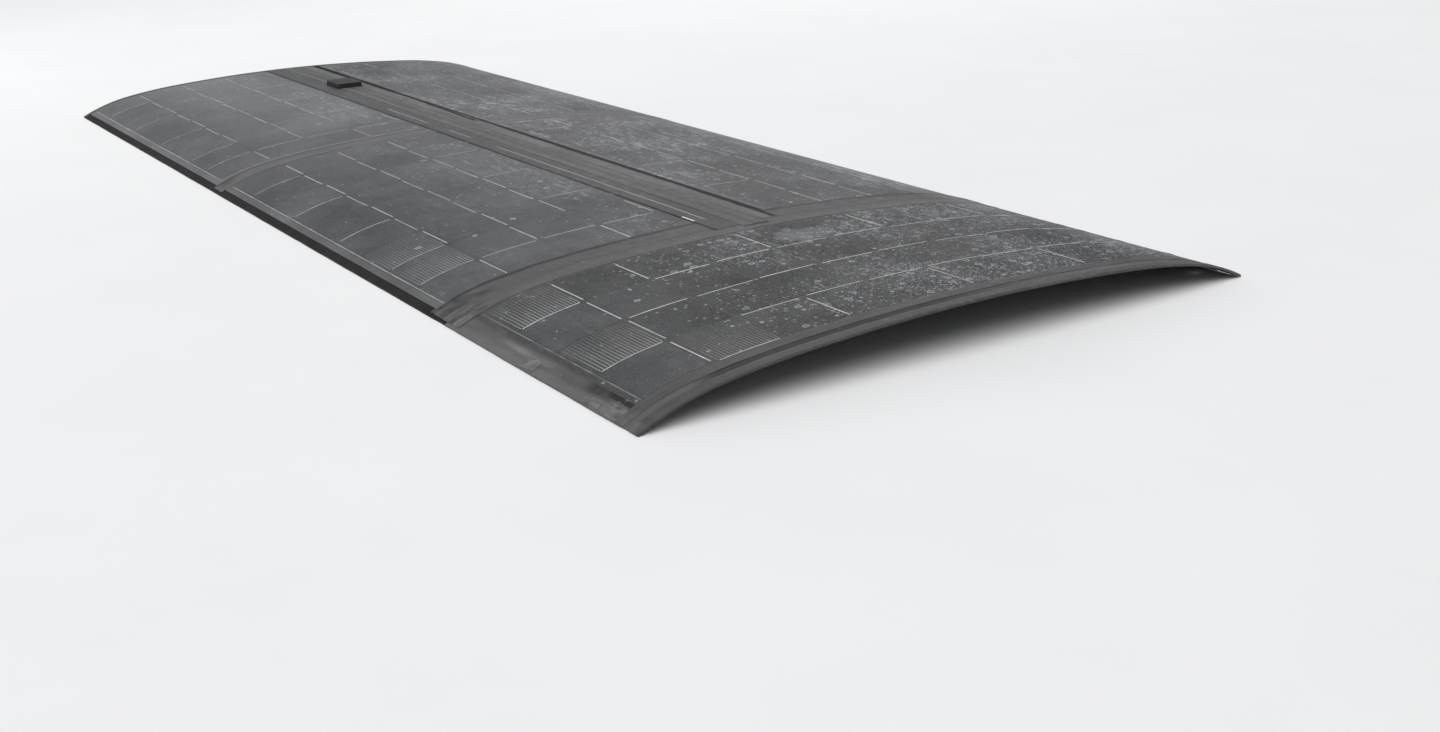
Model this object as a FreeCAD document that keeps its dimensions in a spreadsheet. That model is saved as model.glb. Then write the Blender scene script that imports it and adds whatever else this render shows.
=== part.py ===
import FreeCAD, Part
import Sketcher
import math
import os

Vector = FreeCAD.Vector

# Millimetres. X runs along the sheet (+X is its front end), Y across it and Z up.
# The sheet lies on an arched roof.  "s" is the distance along the arch from the crown line and "d"
# is the height above the roof surface, measured square to it.
SIZES = {
    # roof arch: three tangent arcs on each side of the crown line
    "crown_radius": 5600,
    "haunch_radius": 1690,
    "shoulder_radius": 590,
    "crown_reach": 469,
    "haunch_reach": 635.5,
    "edge_reach": 802,
    "sheet_length": 3888,
    # laminates: four rows of nine cells each
    "cell_pitch": 160,
    "cell_size": 156,
    "cell_corner": 9,
    "cells_long": 9,
    "cells_wide": 4,
    "laminate_rim": 22,
    "recess_rim": 15,
    "laminate_long": 1484,
    "laminate_wide": 684,
    # where the laminates lie
    "front_centre_x": 1539,
    "mid_centre_x": 368,
    "rear_centre_x": -1181,
    "front_centre_s": -13,
    "side_centre_s": 437,
    # heights of the layers above the roof
    "adhesive_top": 1.0,
    "backsheet_top": 1.7,
    "cell_bed": 2.6,
    "cell_top": 2.85,
    "ribbon_top": 3.0,
    "film_top": 3.3,
    "tape_top": 4.0,
    "edge_lap_top": 4.2,
    # string tabs and bus bars
    "tab_length": 138,
    "tab_width": 4,
    "tab_shift": 2,
    "bus_width": 4,
    "bus_offset": 4,
    # cross bands between the laminates
    "fit_gap": 0.3,
    "tape_width": 75,
    "band_front_edge": 1216,
    "band_rear_edge": 1077,
    "front_band_reach": 794,
    "rear_band_reach": 791,
    "rear_band_front_edge": -366,
    "patch_reach": 379,
    "lead_front_x": 1160,
    "lead_width": 12,
    "lead_top": 2.2,
    # edge strips
    "trim_lip_x": 1893,
    "trim_base_x": 1896.6,
    "trim_top": 5.2,
    "front_tape_x": 1862,
    "rear_trim_width": 20.7,
    "flap_block_s": 771,
    "flap_inner_left": 751,
    "flap_inner_right": 725,
    "seal_inner_s": 779.3,
    "seal_top": 3.0,
    "side_lead_s": 758,
    # centre channel
    "channel_half": 94.7,
    "tray_top": 1.0,
    "cover_half": 34.5,
    "cover_under": 4.1,
    "cover_top": 5.2,
    "cover_rail_under": 3.4,
    "cover_front_x": 1184,
    "cover_rail_width": 3,
    "side_tape_under": 4.05,
    "side_tape_top": 4.65,
    "side_tape_left_x": 1168,
    "side_tape_right_x": 1149,
    "side_tape_left_s": 90,
    "side_tape_right_s": 78,
    "bead_width": 13,
    "bead_top": 2.2,
    "cable_inner": 12,
    "cable_width": 16,
    "cable_top": 3.2,
    "cable_rear_inset": 80,
    "pod_length": 50,
    "pod_width": 30,
    "pod_height": 2.6,
    "pod_inner_s": 42,
    "pod_corner": 4,
    "foil_width": 8,
    "foil_under": 1.3,
    "foil_top": 1.6,
    # cable entry housing on the crown line
    "entry_x": -1390,
    "entry_length": 120,
    "entry_width": 92,
    "entry_height": 18,
    "entry_corner": 12,
    "entry_wall": 2.4,
    "entry_floor": 0.9,
    "collar_height": 5,
    "collar_radius": 11.4,
    "outlet_radius": 9,
    "outlet_offset": 35,
    "lid_gap": 0.2,
    "lid_thickness": 2.4,
    "lid_rim_height": 2,
    "lid_rim_wall": 1.6,
    "lid_rim_gap": 0.4,
    "knuckle_radius": 3.5,
    "knuckle_inner": 14,
    "knuckle_outer": 32,
    "pin_radius": 1.5,
    "pin_clearance": 0.08,
    "block_length": 20,
    "block_width": 60,
    "block_height": 8,
    "block_x": 10,
    "lever_width": 11,
    "lever_length": 10,
    "lever_thickness": 2,
    "lever_pivot_radius": 1.2,
    "lever_y": 20,
    "lever_clearance": 0.3,
}

doc = FreeCAD.newDocument("solar_sheet")
PARTS = {}


def make_sheet():
    """Put the driving dimensions in a spreadsheet, one alias per cell."""
    sheet = doc.addObject("Spreadsheet::Sheet", "sizes")
    for row, (alias, value) in enumerate(SIZES.items(), start=1):
        sheet.set("A%d" % row, alias)
        sheet.set("B%d" % row, str(value))
        sheet.setAlias("B%d" % row, alias)
    doc.recompute()
    return sheet


SHEET = make_sheet()


def size(alias):
    """Return one driving dimension from the spreadsheet."""
    return float(SHEET.get(alias))


def bind(obj, **expressions):
    """Bind properties to the spreadsheet; x, y and z stand for the placement's position."""
    for name, text in expressions.items():
        path = "Placement.Base." + name if name in ("x", "y", "z") else name
        obj.setExpression(path, text)
    return obj


def keep(obj, name):
    """Name a finished sub-part and list it for export."""
    obj.Label = name
    PARTS[name] = obj
    return obj


# ---------------------------------------------------------------- roof arch

class Arch:
    """Cross-section of the roof: tangent crown, haunch and shoulder arcs, alike on both sides."""

    def __init__(self):
        self.reach = [0.0, size("crown_reach"), size("haunch_reach"), size("edge_reach")]
        self.radius = [size("crown_radius"), size("haunch_radius"), size("shoulder_radius")]
        self.start = [0.0]
        for low, high, radius in zip(self.reach, self.reach[1:], self.radius):
            self.start.append(self.start[-1] + (high - low) / radius)
        self.centre = [(0.0, -self.radius[0])]
        for zone in (1, 2):
            step = self.radius[zone - 1] - self.radius[zone]
            y, z = self.centre[-1]
            angle = self.start[zone]
            self.centre.append((y + step * math.sin(angle), z + step * math.cos(angle)))
        self.rise = 0.0
        self.rise = -self.point(size("edge_reach"), 0.0).z

    def slope(self, s):
        """Return the zone and the angle of the surface normal at distance s (s >= 0)."""
        zone = sum(1 for limit in self.reach[1:3] if s > limit)
        return zone, self.start[zone] + (s - self.reach[zone]) / self.radius[zone]

    def point(self, s, d, x=0.0):
        """Return the point at distance s along the arch and height d above it."""
        zone, angle = self.slope(abs(s))
        y, z = self.centre[zone]
        y += (self.radius[zone] + d) * math.sin(angle)
        z += (self.radius[zone] + d) * math.cos(angle)
        return Vector(x, math.copysign(y, s) if s else 0.0, z + self.rise)

    def edges(self, s0, s1, d):
        """Return the arcs from s0 to s1 at height d."""
        limits = (-self.reach[2], -self.reach[1], self.reach[1], self.reach[2])
        stops = [s0] + [s for s in limits if s0 < s < s1] + [s1]
        arcs = []
        for a, b in zip(stops, stops[1:]):
            arcs.append(Part.Arc(self.point(a, d), self.point((a + b) / 2, d), self.point(b, d)).toShape())
        return arcs

    def section(self, s0, s1, d0, d1):
        """Return the flat face between s0 and s1, and between heights d0 and d1."""
        sides = [Part.LineSegment(self.point(s, d0), self.point(s, d1)).toShape() for s in (s0, s1)]
        outline = self.edges(s0, s1, d0) + self.edges(s0, s1, d1) + sides
        return Part.Face(Part.Wire(Part.__sortEdges__(outline)))

    def block(self, s0, s1, d0, d1, x0, x1):
        """Return a solid of that section from x0 to x1."""
        solid = self.section(s0, s1, d0, d1).extrude(Vector(x1 - x0, 0, 0))
        solid.translate(Vector(x0, 0, 0))
        return solid


ARCH = Arch()


def add_rise():
    """Add the height of the crown line to the spreadsheet, worked out from the arch."""
    row = len(SIZES) + 1
    SHEET.set("A%d" % row, "arch_rise")
    SHEET.set("B%d" % row, "%.6f" % ARCH.rise)
    SHEET.setAlias("B%d" % row, "arch_rise")
    doc.recompute()


add_rise()


def layer(name, s0, s1, d0, d1, x, length):
    """Add a strip of the arch: a section made here, extruded along X by bound dimensions."""
    section = doc.addObject("Part::Feature", name + "_section")
    section.Shape = ARCH.section(s0, s1, d0, d1)
    strip = doc.addObject("Part::Extrusion", name)
    strip.Base = section
    strip.DirMode = "Custom"
    strip.Dir = Vector(1, 0, 0)
    strip.Solid = True
    return bind(strip, LengthFwd=length, x=x)


def fuse(name, pieces):
    """Fuse pieces of one sub-part."""
    joined = doc.addObject("Part::MultiFuse", name)
    joined.Shapes = pieces
    return joined


def group(name, pieces):
    """Collect separate solids in one node."""
    gathered = doc.addObject("Part::Compound", name)
    gathered.Links = pieces
    return gathered


def feature(name, shape):
    """Add a shape that was made in code."""
    obj = doc.addObject("Part::Feature", name)
    obj.Shape = shape
    return obj


# ---------------------------------------------------------------- laminates

def string_path():
    """Return the cells (row, column) in the order in which the string joins them."""
    path = [(1, 2), (1, 1), (2, 1), (2, 2), (3, 2), (3, 1), (4, 1), (4, 2)]
    rows = range(1, int(size("cells_wide")) + 1)
    for column in range(3, int(size("cells_long")) + 1):
        ordered = reversed(rows) if column % 2 else rows
        path += [(row, column) for row in ordered]
    return path


def string_tabs():
    """Return the tab of each cell as a box (u0, u1, v0, v1): u counts columns, v counts rows."""
    pitch = size("cell_pitch")
    half_length = size("tab_length") / 2
    half_width = size("tab_width") / 2
    shift = size("tab_shift")
    path = string_path()
    tabs = []
    previous = (0, 2)
    for row, column in path:
        along_u = row != previous[0]
        step = (row - previous[0]) if along_u else (column - previous[1])
        u = (column - 0.5) * pitch
        v = (row - 0.5) * pitch
        if along_u:
            v += step * (shift - pitch / 2)
            tabs.append((u - half_length, u + half_length, v - half_width, v + half_width))
        else:
            u += step * (shift - pitch / 2)
            tabs.append((u - half_width, u + half_width, v - half_length, v + half_length))
        previous = (row, column)
    return tabs


def bus_bars():
    """Return the two return conductors beside the cells, as boxes in u and v."""
    inner = size("bus_offset") - size("bus_width") / 2
    outer = size("bus_offset") + size("bus_width") / 2
    long_side = size("cells_long") * size("cell_pitch")
    wide_side = size("cells_wide") * size("cell_pitch")
    side_bar = (-outer, long_side, wide_side + inner, wide_side + outer)
    end_bar = (-outer, -inner, 0.0, wide_side + inner - size("fit_gap"))
    return [side_bar, end_bar]


class Laminate:
    """Where one laminate lies. Turn 0: columns run across; 1: front to rear; -1: rear to front."""

    def __init__(self, name, centre_x, centre_s, turn):
        self.name = name
        self.turn = turn
        self.centre_x = centre_x
        self.centre_s = centre_s
        long_side, wide_side = "laminate_long", "laminate_wide"
        self.x_size, self.s_size = (wide_side, long_side) if turn == 0 else (long_side, wide_side)

    def span(self, shrink=0.0):
        """Return the range of s, drawn in by shrink."""
        half = size(self.s_size) / 2 - shrink
        return self.centre_s - half, self.centre_s + half

    def place(self, box):
        """Turn a box in u and v into (x0, x1, s0, s1)."""
        rim = size("laminate_rim")
        half_x = size(self.x_size) / 2 - rim
        half_s = size(self.s_size) / 2 - rim
        u0, u1, v0, v1 = box
        x = size(self.centre_x)
        s = self.centre_s
        if self.turn == 0:
            return x + half_x - v1, x + half_x - v0, s - half_s + u0, s - half_s + u1
        if self.turn == 1:
            return x + half_x - u1, x + half_x - u0, s + half_s - v1, s + half_s - v0
        return x - half_x + u0, x - half_x + u1, s - half_s + v0, s - half_s + v1


def sheet_layer(laminate, suffix, d0, d1):
    """Add one full layer of a laminate."""
    s0, s1 = laminate.span()
    start = "sizes.%s - sizes.%s / 2" % (laminate.centre_x, laminate.x_size)
    name = laminate.name + suffix
    return layer(name, s0, s1, d0, d1, start, "sizes." + laminate.x_size)


def encapsulant(laminate):
    """Add the encapsulant: a slab with a shallow recess that takes the cells and ribbons."""
    slab = sheet_layer(laminate, "_slab", size("backsheet_top"), size("ribbon_top"))
    s0, s1 = laminate.span(size("recess_rim"))
    start = "sizes.%s - sizes.%s / 2 + sizes.recess_rim" % (laminate.centre_x, laminate.x_size)
    length = "sizes.%s - 2 * sizes.recess_rim" % laminate.x_size
    above = size("film_top")
    recess = layer(laminate.name + "_recess", s0, s1, size("cell_bed"), above, start, length)
    cut = doc.addObject("Part::Cut", laminate.name + "_encapsulant_cut")
    cut.Base = slab
    cut.Tool = recess
    return keep(cut, laminate.name + "_encapsulant")


def rounded_cell(s0, s1, x0, x1):
    """Return one curved cell with rounded corners."""
    blank = ARCH.block(s0, s1, size("cell_bed"), size("cell_top"), x0, x1)
    middle = (s0 + s1) / 2
    normal = (ARCH.point(middle, 1.0) - ARCH.point(middle, 0.0)).normalize()
    across = Vector(1, 0, 0).cross(normal) * -1
    half_s = (s1 - s0) / 2
    corner = size("cell_corner")
    depth = half_s / 4
    prism = Part.makeBox(x1 - x0, 2 * half_s, 2 * depth, Vector(-(x1 - x0) / 2, -half_s, -depth))
    upright = [e for e in prism.Edges if abs(e.Vertexes[0].Z - e.Vertexes[1].Z) > depth]
    prism = prism.makeFillet(corner, upright)
    turn = FreeCAD.Rotation(Vector(0, 1, 0), across)
    prism.Placement = FreeCAD.Placement(ARCH.point(middle, 0.0, (x0 + x1) / 2), turn)
    return blank.common(prism).Solids[0]


def cell_array(laminate):
    """Add the cells of a laminate; cells in line along X are the same shape, moved."""
    pitch = size("cell_pitch")
    half_gap = (pitch - size("cell_size")) / 2
    made = {}
    solids = []
    for column in range(int(size("cells_long"))):
        for row in range(int(size("cells_wide"))):
            u0, v0 = column * pitch + half_gap, row * pitch + half_gap
            box = (u0, u0 + size("cell_size"), v0, v0 + size("cell_size"))
            x0, x1, s0, s1 = laminate.place(box)
            key = round(s0, 3)
            if key not in made:
                made[key] = (rounded_cell(s0, s1, x0, x1), x0)
            solid, origin = made[key]
            solids.append(solid.translated(Vector(x0 - origin, 0, 0)))
    name = laminate.name + "_cells"
    return keep(feature(name, Part.makeCompound(solids)), name)


def ribbons(laminate):
    """Add the tabs that join the string, and the bus bars beside it."""
    solids = []
    for box in string_tabs() + bus_bars():
        x0, x1, s0, s1 = laminate.place(box)
        solids.append(ARCH.block(s0, s1, size("cell_top"), size("ribbon_top"), x0, x1))
    name = laminate.name + "_ribbons"
    return keep(feature(name, Part.makeCompound(solids)), name)


def laminate_parts(laminate):
    """Add the six pieces of a laminate, from the roof up."""
    adhesive_top = size("adhesive_top")
    backsheet_top = size("backsheet_top")
    keep(sheet_layer(laminate, "_bed", 0.0, adhesive_top), laminate.name + "_adhesive")
    keep(sheet_layer(laminate, "_back", adhesive_top, backsheet_top), laminate.name + "_backsheet")
    encapsulant(laminate)
    cell_array(laminate)
    ribbons(laminate)
    top = sheet_layer(laminate, "_top", size("ribbon_top"), size("film_top"))
    keep(top, laminate.name + "_top_film")


# ---------------------------------------------------------------- cross bands

def strip(name, s0, s1, d0, d1, x0, x1):
    """Add a strip of the arch between two bound positions along X."""
    return layer(name, s0, s1, d0, d1, x0, "(%s) - (%s)" % (x1, x0))


def front_band():
    """Add the band between the front laminate and the mid laminates."""
    gap = size("fit_gap")
    film = size("film_top")
    reach = size("flap_inner_left") + 4
    mid_edge = "sizes.mid_centre_x + sizes.laminate_long / 2 + sizes.fit_gap"
    front_edge = "sizes.front_centre_x - sizes.laminate_wide / 2 - sizes.fit_gap"
    lead_rear = "sizes.lead_front_x - sizes.lead_width - sizes.fit_gap"
    ahead = strip("front_band_ahead", -reach, reach, 0.0, film, "sizes.lead_front_x + sizes.fit_gap",
                  front_edge)
    inner = size("channel_half") + gap
    left = strip("front_band_left", -reach, -inner, 0.0, film, mid_edge, lead_rear)
    right = strip("front_band_right", inner, reach, 0.0, film, mid_edge, lead_rear)
    keep(group("front_band_filler_group", [ahead, left, right]), "front_band_filler")
    reach = size("front_band_reach")
    lap = "sizes.band_rear_edge + sizes.tape_width"
    rear_tape = strip("front_band_tape_2", -reach, reach, film, size("tape_top"),
                      "sizes.band_rear_edge", lap)
    keep(rear_tape, "front_band_rear_tape")
    fore_tape = strip("front_band_tape_1", -reach, reach, film, size("tape_top"),
                      lap + " + sizes.fit_gap", "sizes.band_front_edge")
    keep(fore_tape, "front_band_front_tape")


def rear_band():
    """Add the band between the mid laminates and the rear laminates."""
    gap = size("fit_gap")
    film = size("film_top")
    tape_top = size("tape_top")
    reach = size("seal_inner_s") - gap
    inner = size("channel_half") + gap
    rear_edge = "sizes.rear_centre_x + sizes.laminate_long / 2 + sizes.fit_gap"
    mid_edge = "sizes.mid_centre_x - sizes.laminate_long / 2 - sizes.fit_gap"
    left = strip("rear_band_left", -reach, -inner, 0.0, film, rear_edge, mid_edge)
    right = strip("rear_band_right", inner, reach, 0.0, film, rear_edge, mid_edge)
    keep(group("rear_band_filler_group", [left, right]), "rear_band_filler")
    reach = size("rear_band_reach")
    tape_rear = "sizes.rear_band_front_edge - sizes.tape_width"
    tape = strip("rear_band_tape_1", -reach, reach, film, tape_top, tape_rear,
                 "sizes.rear_band_front_edge")
    keep(tape, "rear_band_tape")
    patch_top = tape_top + size("tape_top") - film
    patch_end = -size("patch_reach")
    patch = strip("rear_band_tape_2", -reach, patch_end, tape_top, patch_top,
                  tape_rear + " + sizes.tape_width / 3", "sizes.rear_band_front_edge")
    keep(patch, "rear_band_patch_tape")


# ---------------------------------------------------------------- edges

def front_edge():
    """Add the lipped trim at the front end and the tape that laps from it onto the laminate."""
    reach = size("edge_reach")
    film = size("film_top")
    end = "sizes.sheet_length / 2"
    base = strip("front_trim_base", -reach, reach, 0.0, film, "sizes.trim_base_x", end)
    lip = strip("front_trim_lip", -reach, reach, film, size("trim_top"), "sizes.trim_lip_x", end)
    keep(fuse("front_trim_fuse", [base, lip]), "front_edge_trim")
    tape = strip("front_tape_strip", -reach, reach, film, size("edge_lap_top"), "sizes.front_tape_x",
                 "sizes.trim_lip_x - sizes.fit_gap")
    keep(tape, "front_edge_tape")


def rear_edge():
    """Add the plain trim across the rear end."""
    reach = size("edge_reach")
    end = "-sizes.sheet_length / 2"
    trim = strip("rear_trim_strip", -reach, reach, 0.0, size("edge_lap_top"), end,
                 end + " + sizes.rear_trim_width")
    keep(trim, "rear_edge_trim")


def side_edges(side, sign, flap_inner):
    """Add the flap beside the front laminate and the seal beside the other laminates."""
    reach = size("edge_reach")
    film = size("film_top")
    flap_rear = "sizes.lead_front_x + sizes.fit_gap"
    flap_front = "sizes.trim_lip_x - 12"
    tape_rear = "sizes.front_tape_x - sizes.fit_gap"

    def signed(inner, outer):
        return sorted((sign * inner, sign * outer))

    block = strip("flap_block_" + side, *signed(size("flap_block_s"), reach), 0.0, film,
                  flap_rear, flap_front)
    lap = strip("flap_lap_" + side, *signed(flap_inner, reach), film, size("tape_top"),
                "sizes.band_front_edge + sizes.fit_gap", tape_rear)
    keep(fuse("flap_fuse_" + side, [block, lap]), "side_flap_" + side)
    seal = strip("seal_strip_" + side, *signed(size("seal_inner_s"), reach), 0.0, size("seal_top"),
                 "-sizes.sheet_length / 2 + sizes.rear_trim_width + sizes.fit_gap", "sizes.lead_front_x")
    keep(seal, "side_seal_" + side)


# ---------------------------------------------------------------- centre channel

def channel_tray():
    """Add the tray on the roof, in front of and behind the cable entry."""
    half = size("channel_half")
    rear_end = "-sizes.sheet_length / 2 + sizes.rear_trim_width + sizes.fit_gap"
    entry_rear = "sizes.entry_x - sizes.entry_length / 2 - 8"
    entry_front = "sizes.entry_x + sizes.entry_length / 2 + sizes.fit_gap"
    front_end = "sizes.lead_front_x - sizes.lead_width - sizes.fit_gap"
    fore = strip("tray_fore", -half, half, 0.0, size("tray_top"), entry_front, front_end)
    aft = strip("tray_aft", -half, half, 0.0, size("tray_top"), rear_end, entry_rear)
    keep(group("tray_group", [fore, aft]), "channel_tray")


def channel_cover():
    """Add the raised cover: a flat top with short side rails, left out where the bands cross."""
    half = size("cover_half")
    rail = size("cover_rail_width")
    under, top, rail_under = size("cover_under"), size("cover_top"), size("cover_rail_under")
    entry_front = "sizes.entry_x + sizes.entry_length / 2 + 1"
    entry_rear = "sizes.entry_x - sizes.entry_length / 2 - 8"
    rear_end = "-sizes.sheet_length / 2 + sizes.rear_trim_width + 1"
    band_front = "sizes.rear_band_front_edge + 1"
    band_rear = "sizes.rear_band_front_edge - sizes.tape_width - 1"
    front_top = strip("cover_top_fore", -half, half, under, top, entry_front, "sizes.cover_front_x")
    rear_top = strip("cover_top_aft", -half, half, under, top, rear_end, entry_rear)
    pieces = [front_top]
    runs = ((entry_front, band_rear), (band_front, "sizes.band_rear_edge - 1"))
    for number, (start, end) in enumerate(runs, start=1):
        for sign, side in ((-1, "left"), (1, "right")):
            s0, s1 = sorted((sign * half, sign * (half - rail)))
            pieces.append(strip("cover_rail_%s_%d" % (side, number), s0, s1, rail_under, under, start, end))
    front = fuse("cover_fore_fuse", pieces)
    keep(group("cover_group", [front, rear_top]), "channel_cover")


def channel_tape(side, sign, outer_s, front_x):
    """Add a side tape of the channel, narrowed beside the cable entry."""
    under, top = size("side_tape_under"), size("side_tape_top")
    inner = size("cover_half") + size("fit_gap")
    beside = size("entry_width") / 2 + 1
    rear_end = "-sizes.sheet_length / 2 + sizes.rear_trim_width + 1"
    entry_front = "sizes.entry_x + sizes.entry_length / 2 + 1"
    entry_rear = "sizes.entry_x - sizes.entry_length / 2 - 8"
    fore = strip("side_tape_fore_" + side, *sorted((sign * inner, sign * outer_s)), under, top,
                 entry_front, front_x)
    beside_entry = strip("side_tape_mid_" + side, *sorted((sign * beside, sign * outer_s)), under, top,
                         entry_rear, entry_front)
    aft = strip("side_tape_aft_" + side, *sorted((sign * inner, sign * outer_s)), under, top,
                rear_end, entry_rear)
    keep(fuse("side_tape_fuse_" + side, [fore, beside_entry, aft]), "channel_tape_" + side)


def sealant_bead():
    """Add the bead in the groove along the right side of the channel."""
    outer = size("channel_half")
    start = "-sizes.sheet_length / 2 + sizes.rear_trim_width + 1"
    bead = strip("bead_strip", outer - size("bead_width"), outer, size("tray_top"), size("bead_top"),
                 start, "sizes.side_tape_right_x - 2")
    keep(bead, "sealant_bead")


def trunk_cable(side, sign):
    """Add a flat trunk cable on each side of the terminal block in the cable entry."""
    inner = size("cable_inner")
    s0, s1 = sorted((sign * inner, sign * (inner + size("cable_width"))))
    low, high = size("tray_top"), size("cable_top")
    block_front = "sizes.entry_x + sizes.block_x + sizes.block_length / 2 + sizes.fit_gap"
    block_rear = "sizes.entry_x + sizes.block_x - sizes.block_length / 2 - sizes.fit_gap"
    front_end = "sizes.lead_front_x - sizes.lead_width - sizes.fit_gap"
    rear_end = "sizes.rear_centre_x - sizes.laminate_long / 2 + sizes.cable_rear_inset"
    fore = strip("trunk_fore_" + side, s0, s1, low, high, block_front, front_end)
    aft = strip("trunk_aft_" + side, s0, s1, low, high, rear_end, block_rear)
    keep(group("trunk_group_" + side, [fore, aft]), "trunk_cable_" + side)


def front_lead(side, sign, terminal_s):
    """Add the flat lead from a front laminate terminal, round its edge and back to the channel."""
    low, high = size("tray_top"), size("lead_top")
    edge = size("side_lead_s") + size("lead_width")
    ahead = strip("lead_ahead_" + side, *sorted((sign * edge, terminal_s)), low, high,
                  "sizes.trim_base_x - sizes.fit_gap - sizes.lead_width",
                  "sizes.trim_base_x - sizes.fit_gap")
    beside = strip("lead_beside_" + side, *sorted((sign * size("side_lead_s"), sign * edge)), low, high,
                   "sizes.lead_front_x - sizes.lead_width", "sizes.trim_base_x - sizes.fit_gap")
    behind = strip("lead_behind_" + side, *sorted((sign * size("cable_inner"), sign * edge)), low, high,
                   "sizes.lead_front_x - sizes.lead_width", "sizes.lead_front_x")
    keep(fuse("lead_fuse_" + side, [ahead, beside, behind]), "front_lead_" + side)


def terminal_places(laminates):
    """Return (x, sign) of each terminal that faces the channel."""
    pitch = size("cell_pitch")
    places = []
    for laminate in laminates:
        sign = 1 if laminate.centre_s > 0 else -1
        for column in (2, int(size("cells_long"))):
            u = (column - 0.5) * pitch
            x0, x1, s0, s1 = laminate.place((u, u, 0.0, 0.0))
            places.append((x0, sign))
    return places


def terminals(laminates):
    """Add the potted pods in the channel and the foil leads on both sides of each pod."""
    pods = []
    foils = []
    gap = size("fit_gap")
    tray_top = size("tray_top")
    pod_inner = size("pod_inner_s")
    pod_outer = pod_inner + size("pod_width")
    cable_outer = size("cable_inner") + size("cable_width")
    for x, sign in terminal_places(laminates):
        half = size("pod_length") / 2
        s0, s1 = sorted((sign * pod_inner, sign * pod_outer))
        pod = ARCH.block(s0, s1, tray_top, tray_top + size("pod_height"), x - half, x + half)
        upright = [e for e in pod.Edges if abs(e.Vertexes[0].Z - e.Vertexes[1].Z) > size("pod_height") / 2]
        pods.append(pod.makeFillet(size("pod_corner"), upright))
        half = size("foil_width") / 2
        runs = ((cable_outer + gap, pod_inner - gap), (pod_outer + gap, size("channel_half") - gap))
        for inner, outer in runs:
            if sign > 0 and outer > pod_outer:
                outer -= size("bead_width")
            s0, s1 = sorted((sign * inner, sign * outer))
            foils.append(ARCH.block(s0, s1, size("foil_under"), size("foil_top"), x - half, x + half))
    keep(feature("pod_solids", Part.makeCompound(pods)), "terminal_pods")
    keep(feature("foil_solids", Part.makeCompound(foils)), "foil_leads")


# ---------------------------------------------------------------- cable entry

def box(name, length, width, height, x, y, z):
    """Add a box with bound sizes; x, y and z are the middle of its base, from the crown line."""
    item = doc.addObject("Part::Box", name)
    bind(item, Length=length, Width=width, Height=height)
    bind(item, x="%s - (%s) / 2" % (x, length), y="%s - (%s) / 2" % (y, width))
    return bind(item, z="sizes.arch_rise + (%s)" % z)


def upright_cylinder(name, radius, height, x, y, z):
    """Add an upright cylinder with bound sizes."""
    item = doc.addObject("Part::Cylinder", name)
    bind(item, Radius=radius, Height=height, x=x, y=y)
    return bind(item, z="sizes.arch_rise + (%s)" % z)


def cross_cylinder(name, radius, y0, y1, x, z):
    """Add a cylinder along Y between y0 and y1."""
    item = doc.addObject("Part::Cylinder", name)
    item.Placement = FreeCAD.Placement(Vector(0, 0, 0), FreeCAD.Rotation(Vector(1, 0, 0), -90))
    bind(item, Radius=radius, Height="(%s) - (%s)" % (y1, y0), x=x, y=y0)
    return bind(item, z="sizes.arch_rise + (%s)" % z)


def round_upright_edges(name, base, radius):
    """Round the four outer upright edges of a box."""
    doc.recompute()
    tall = [i for i, e in enumerate(base.Shape.Edges, start=1)
            if abs(e.Vertexes[0].Z - e.Vertexes[-1].Z) > 0.9 * base.Shape.BoundBox.ZLength]
    item = doc.addObject("Part::Fillet", name)
    item.Base = base
    item.Edges = [(i, radius, radius) for i in tall]
    return item


def cut(name, base, tools):
    """Cut one or more tools out of a base."""
    item = doc.addObject("Part::Cut", name)
    item.Base = base
    item.Tool = tools[0] if len(tools) == 1 else fuse(name + "_tools", tools)
    return item


HINGE_X = "sizes.entry_x - sizes.entry_length / 2 - sizes.knuckle_radius"
HINGE_Z = "sizes.entry_height + sizes.lid_gap + sizes.lid_thickness - sizes.knuckle_radius"


def knuckle(name, y0, y1, reach):
    """Add a hinge knuckle with the web that ties it to the wall or the lid behind it."""
    barrel = cross_cylinder(name + "_barrel", "sizes.knuckle_radius", y0, y1, HINGE_X, HINGE_Z)
    width = "(%s) - (%s)" % (y1, y0)
    middle = "((%s) + (%s)) / 2" % (y0, y1)
    if reach == "lid":
        web = box(name + "_web", "sizes.knuckle_radius + 2", width, "sizes.lid_thickness",
                  "sizes.entry_x - sizes.entry_length / 2 - sizes.knuckle_radius / 2 + 1", middle,
                  "sizes.entry_height + sizes.lid_gap")
    else:
        web = box(name + "_web", "sizes.knuckle_radius + 1", width, "sizes.knuckle_radius + 2",
                  "sizes.entry_x - sizes.entry_length / 2 - sizes.knuckle_radius / 2 + 0.5", middle,
                  HINGE_Z + " - sizes.knuckle_radius - 2")
    return fuse(name + "_fuse", [barrel, web])


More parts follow.
